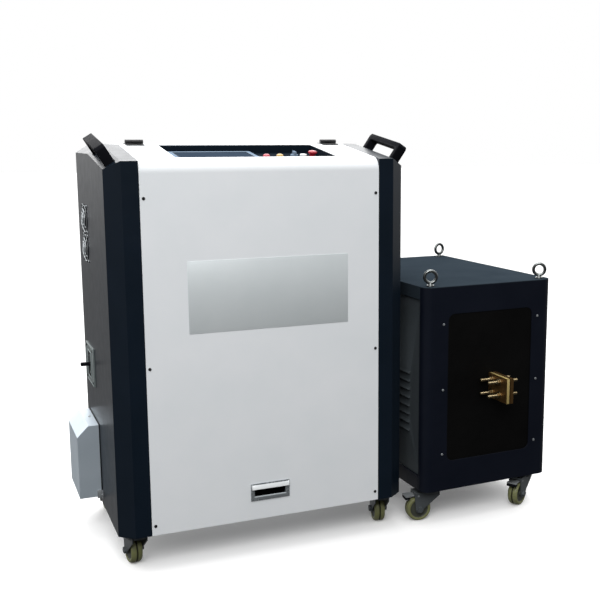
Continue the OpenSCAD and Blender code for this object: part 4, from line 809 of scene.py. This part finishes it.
# %% Circuit breaker
BREAKER = at(-HALF_CABINET - 4, 388, 386) @ FACING_LEFT
dress("circuit_breaker", breaker_plastic, "cabinet", 0.8)
rim = bmesh.new()
surround = bmesh.new()
for side in (-1, 1):
    add(rim, slab(74, 3, 2.2, 0.7), BREAKER @ at(0, side * 27, -0.2))
    add(rim, slab(3, 57, 2.2, 0.7), BREAKER @ at(side * 37, 0, -0.2))
    add(surround, slab(71, 13.5, 1.2, 0.4), BREAKER @ at(0, side * 18.6, -0.2))
    add(surround, slab(6.4, 25, 1.2, 0.4), BREAKER @ at(side * 32, 0, -0.2))
    add(rim, slab(108, 2.4, 1.4, 0.5), BREAKER @ at(0, side * 63.4, -0.2))
    add(rim, slab(2.4, 129, 1.4, 0.5), BREAKER @ at(side * 53.2, 0, -0.2))
for x in (-46, 46):
    for y in (-54, 54):
        add(surround, pan_head(3.2, 1.8), BREAKER @ at(x, y, 0))
piece_from(rim, "breaker_rim", rim_plastic, "cabinet", CABINET)
piece_from(surround, "breaker_surround", black_plastic, "cabinet", CABINET)
dress("breaker_toggle", black_plastic, "toggle", 1.2)

# %% [markdown]
# The flush pull is a die-cast frame round a black cup. The frame is a slab whose front and
# back faces are inset and then joined round the opening. A lip of its own leans inwards at
# the top, where the fingers go, and catches the light; its near-white finish is a painted
# highlight. The cup behind is five thin walls.

# %% Flush pull
PULL = at(0, 0, 78) @ FACING_FRONT
CUP_W, CUP_DEEP, CUP_T = 90, 19, 1.2
LIP_LEAN = -24


def pull_frame():
    """The bright frame: both faces of a slab are inset, then bridged round the opening."""
    rim_shape = slab(110, 48, 3, 0.8, 3)
    front = max((f for f in rim_shape.faces if f.normal.z > 0.99), key=lambda f: f.calc_area())
    back = max((f for f in rim_shape.faces if f.normal.z < -0.99), key=lambda f: f.calc_area())
    bmesh.ops.inset_region(rim_shape, faces=[front], thickness=8.5, use_even_offset=True)
    for vert in front.verts:
        vert.co.z -= 0.6
        if vert.co.y > 0:
            vert.co.y -= 3
    bmesh.ops.inset_region(rim_shape, faces=[front], thickness=0.8, use_even_offset=True)
    bmesh.ops.translate(rim_shape, vec=(0, 0, -0.8), verts=front.verts)
    bmesh.ops.inset_region(rim_shape, faces=[back], thickness=11, use_even_offset=True)
    rims = list(front.edges) + list(back.edges)
    bmesh.ops.delete(rim_shape, geom=[front, back], context="FACES_ONLY")
    bmesh.ops.bridge_loops(rim_shape, edges=rims)
    return rim_shape


piece_from(pull_frame(), "pull_frame", pull_metal, "cover", CABINET @ PULL)
lip_shape = bmesh.new()
add(lip_shape, slab(104, 15, 1.4, 0.6, 3), at(0, 15, 3.6) @ turn(LIP_LEAN, "X"))
for x in (-52.4, 52.4):
    add(lip_shape, slab(2, 13, 6.5, 0.7), at(x, 15, 0.5))
piece_from(lip_shape, "pull_lip", lip_highlight_metal, "cover", CABINET @ PULL)
cup = bmesh.new()
for side in (1, -1):
    add(cup, slab(CUP_W, CUP_T, CUP_DEEP, 0.2), at(0, side * 14.4, 1 - CUP_DEEP))
for side in (-1, 1):
    add(cup, slab(CUP_T, 28, CUP_DEEP, 0.2), at(side * 44.4, 0, 1 - CUP_DEEP))
add(cup, slab(CUP_W, 30, CUP_T, 0.2), at(0, 0, -CUP_DEEP))
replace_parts(piece_from(cup, "pull_cup", cup_black, "cover", CABINET @ PULL), "flush_pull")

# %% [markdown]
# The mains hood is a folded box with a dark rubber strip where it meets the cap, painted
# shade along the joint, one screw on top and a small angle bracket at its lower corner.

# %% Hood shade strip, screw and bracket
HOOD_FRONT, HOOD_BACK, HOOD_MIDDLE = 286.8, 476.2, 381.5
HOOD_LOW, HOOD_TOP = 21, 230.2
SHADE_STRIP_T = 2.4
BRACKET_H = 24
# A thin dark strip where the hood meets the cap paints the shade of the joint.
shade_strip = bmesh.new()
add(shade_strip, slab(SHADE_STRIP_T, 190, 2.6, 0.6), at(-HALF_CABINET - SHADE_STRIP_T / 2, HOOD_MIDDLE, HOOD_TOP))
for y in (HOOD_FRONT, HOOD_BACK):
    add(shade_strip, slab(SHADE_STRIP_T, 2.6, 211, 0.6), at(-HALF_CABINET - SHADE_STRIP_T / 2, y, HOOD_LOW))
piece_from(shade_strip, "hood_shade_strip", rubber, "cabinet", CABINET)
fixings = bmesh.new()
add(fixings, pan_head(3.6, 2.2), at(-HALF_CABINET - 14, 383, 231))
add(fixings, slab(14, 1.6, BRACKET_H, 0.5), at(-HALF_CABINET - 7, 287.2, 17))
add(fixings, slab(1.6, 16, BRACKET_H, 0.5), at(-HALF_CABINET - 0.8, 279.5, 17))
add(fixings, pan_head(3, 1.8), at(-HALF_CABINET - 1.6, 279, 29) @ FACING_LEFT)
piece_from(fixings, "hood_fixings", zinc, "cabinet", CABINET)

# %% [markdown]
# The studs through the bars get nuts, washers and a thread. The thread is a stack of thin
# turned rings, because a true helix would not be seen at this size.

# %% Studs and washers
BAR_Z = 305
BAR_LEFT = 218.5
STUD_START, STUD_END = -38, 62
STUD_YS = (-12, -52)
STUD_RISE = 20
NUT_BACK = 23
studs = bmesh.new()
for y in STUD_YS:
    for rise in (-STUD_RISE, STUD_RISE):
        place = at(BAR_LEFT, y, BAR_Z + rise) @ FACING_RIGHT
        thread = [(0, STUD_START), (4.2, STUD_START)]
        for k in range(1, STUD_END - STUD_START):
            thread.append((4.95 if k % 2 else 4.45, STUD_START + k))
        thread += [(4.2, STUD_END), (0, STUD_END)]
        add(studs, turned(thread, 20), place)
        add(studs, hex_head(8.5, 6.5, 1.3, 0.16), place @ turn(180, "Y"))
        add(studs, hex_head(8.5, 6.5, 1.3, 0.16), place @ at(0, 0, NUT_BACK))
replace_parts(piece_from(studs, "bar_bolts", brass, "cart", CART), "bar_studs")

# %% [markdown]
# The flat faces of the bars have gone brown. The left bar gets thin strips along its top and
# front edges in a paler brass, a painted highlight where those edges catch the light.

# %% Painted highlight on the left bar's edges
edges = bmesh.new()
add(edges, slab(8.4, 72.6, 0.5, 0.2), at(BAR_LEFT + 5, -92.8, BAR_Z) @ FACING_FRONT)
add(edges, slab(8.4, 90, 0.5, 0.2), at(BAR_LEFT + 5, -47, BAR_Z + 36.8))
piece_from(edges, "bar_highlight_strips", highlight_brass, "cart", CART)

# %% [markdown]
# A lifting eye is a forged ring on a shank with a collar. The ring is a circle swept round
# an axis, thicker than the wires above, and the shank widens into it in a turned neck.

# %% Lifting eyes
EYE_SPOTS = ((30, 26, -20), (406, 26, -30), (30, 624, 25), (406, 624, 10))
EYE_R, EYE_THICK, EYE_H = 17, 4.7, 27
eyes = bmesh.new()
for x, y, angle in EYE_SPOTS:
    spot = at(x, y, CART_H)
    ring = round_ring(EYE_R, 0, EYE_THICK, 16)
    add(eyes, ring, spot @ at(0, 0, EYE_H) @ turn(angle, "Z") @ FACING_FRONT)
    add(eyes, turned([(0, 11), (4.6, 11), (5.4, 7), (7.4, 4.4), (10.4, 4), (11, 3), (11, 0.6),
                      (10.4, 0), (0, 0)], 40), spot)
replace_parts(piece_from(eyes, "lifting_eyes", bolt_steel, "cart", CART), "eyebolts")
print("studs and lifting eyes are in place")

# %% [markdown]
# Eight casters carry the two cabinets. Each wheel has an olive tread with a groove round its
# middle, coloured a darker olive as painted shade, on a grey hub. The hub and tread are
# separate turned parts of one piece, with three materials between them.

# %% Wheels and caster bolts
TRAIL = 38
WHEEL_R = 37.5
GROOVE_HALF = 2.2
TREAD_INNER = 33
PEDAL_OUT, PEDAL_H = 37, 68
BOLT_X, BOLT_Y, BOLT_H = 30, 20, 97
INSET = 51
FLOOR_DROP = 100
CABINET_ANGLES = {"front_left": 97, "front_right": 78, "rear_left": 95, "rear_right": 80}
CART_ANGLES = {"front_left": 170, "front_right": 210, "rear_left": 185, "rear_right": 200}
hub_grey = finish("hub_grey", srgb(58, 60, 54), srgb(70, 72, 64), (0.45, 0.55), 900, 0.00004,
                  shine=0.3)


def wheel():
    """A caster wheel about Y at the origin: tread first, then hub."""
    tread = turned([(27, -14), (31, -15.6), (33.5, -15.2), (36.2, -12.2), (37.4, -8), (37.5, -2.4),
                    (36, -1.4), (36, 1.4), (37.5, 2.4), (37.4, 8), (36.2, 12.2), (33.5, 15.2),
                    (31, 15.6), (27, 14), (27, -14)], 56)
    hub = turned([(5.1, -16), (10.5, -16), (11, -12.2), (25, -12), (27.2, -14.2), (27.2, 14.2),
                  (25, 12), (11, 12.2), (10.5, 16), (5.1, 16), (5.1, -16)], 40)
    for part in (tread, hub):
        bmesh.ops.transform(part, matrix=FACING_FRONT, verts=part.verts)
    for face in tread.faces:
        middle = face.calc_center_median()
        # Faces in the groove take the darker olive as painted shade.
        if abs(middle.y) < GROOVE_HALF and math.hypot(middle.x, middle.z) > TREAD_INNER:
            face.material_index = 2
    hub_faces = len(tread.faces)
    add(tread, hub)
    tread.faces.ensure_lookup_table()
    for face in tread.faces[hub_faces:]:
        face.material_index = 1
    return tread


def caster_frame(cabinet, corner):
    """The frame of a caster: Z up its swivel axis from the floor, X the way its wheel trails."""
    right, rear = corner.endswith("right"), corner.startswith("rear")
    if cabinet == "cabinet":
        x = (1 if right else -1) * (HALF_CABINET - INSET)
        y = CABINET_DEPTH - INSET if rear else INSET
        return CABINET @ at(x, y, -FLOOR_DROP) @ turn(CABINET_ANGLES[corner], "Z")
    x = CART_WIDTH - INSET if right else INSET
    y = CART_DEPTH - INSET if rear else INSET
    return CART @ at(x, y, -FLOOR_DROP) @ turn(CART_ANGLES[corner], "Z")


for cabinet in ("cabinet", "cart"):
    bolts = bmesh.new()
    for corner in CABINET_ANGLES:
        name = f"{cabinet}_{corner}"
        piece = piece_from(wheel(), name + "_tyre", (polyurethane, hub_grey, groove_shade),
                           name + "_wheel", caster_frame(cabinet, corner) @ at(TRAIL, 0, WHEEL_R))
        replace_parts(piece, f"{cabinet}_wheel_{corner}")
        # The fork's zinc is darkened as painted shade.
        dress(f"{cabinet}_fork_{corner}", dark_zinc, name + "_fork", 0.7)
        angles = CABINET_ANGLES if cabinet == "cabinet" else CART_ANGLES
        square = caster_frame(cabinet, corner) @ turn(-angles[corner], "Z")
        for x in (-BOLT_X, BOLT_X):
            for y in (-BOLT_Y, BOLT_Y):
                place = square @ at(x, y, BOLT_H) @ turn(180, "X")
                add(bolts, hex_head(5.2, 3.2, 1.5, 0.2), place)
    piece_from(bolts, cabinet + "_caster_bolts", zinc, cabinet, Matrix())
for side in ("left", "right"):
    dress("brake_pedal_" + side, zinc, side + "_pedal", 0.6)
    pad = slab(15, 32, 9, 3, 3)
    place = caster_frame("cart", "front_" + side) @ at(TRAIL + PEDAL_OUT, 0, PEDAL_H)
    piece_from(pad, side + "_pedal_pad", black_plastic, side + "_pedal", place)
print("casters dressed")
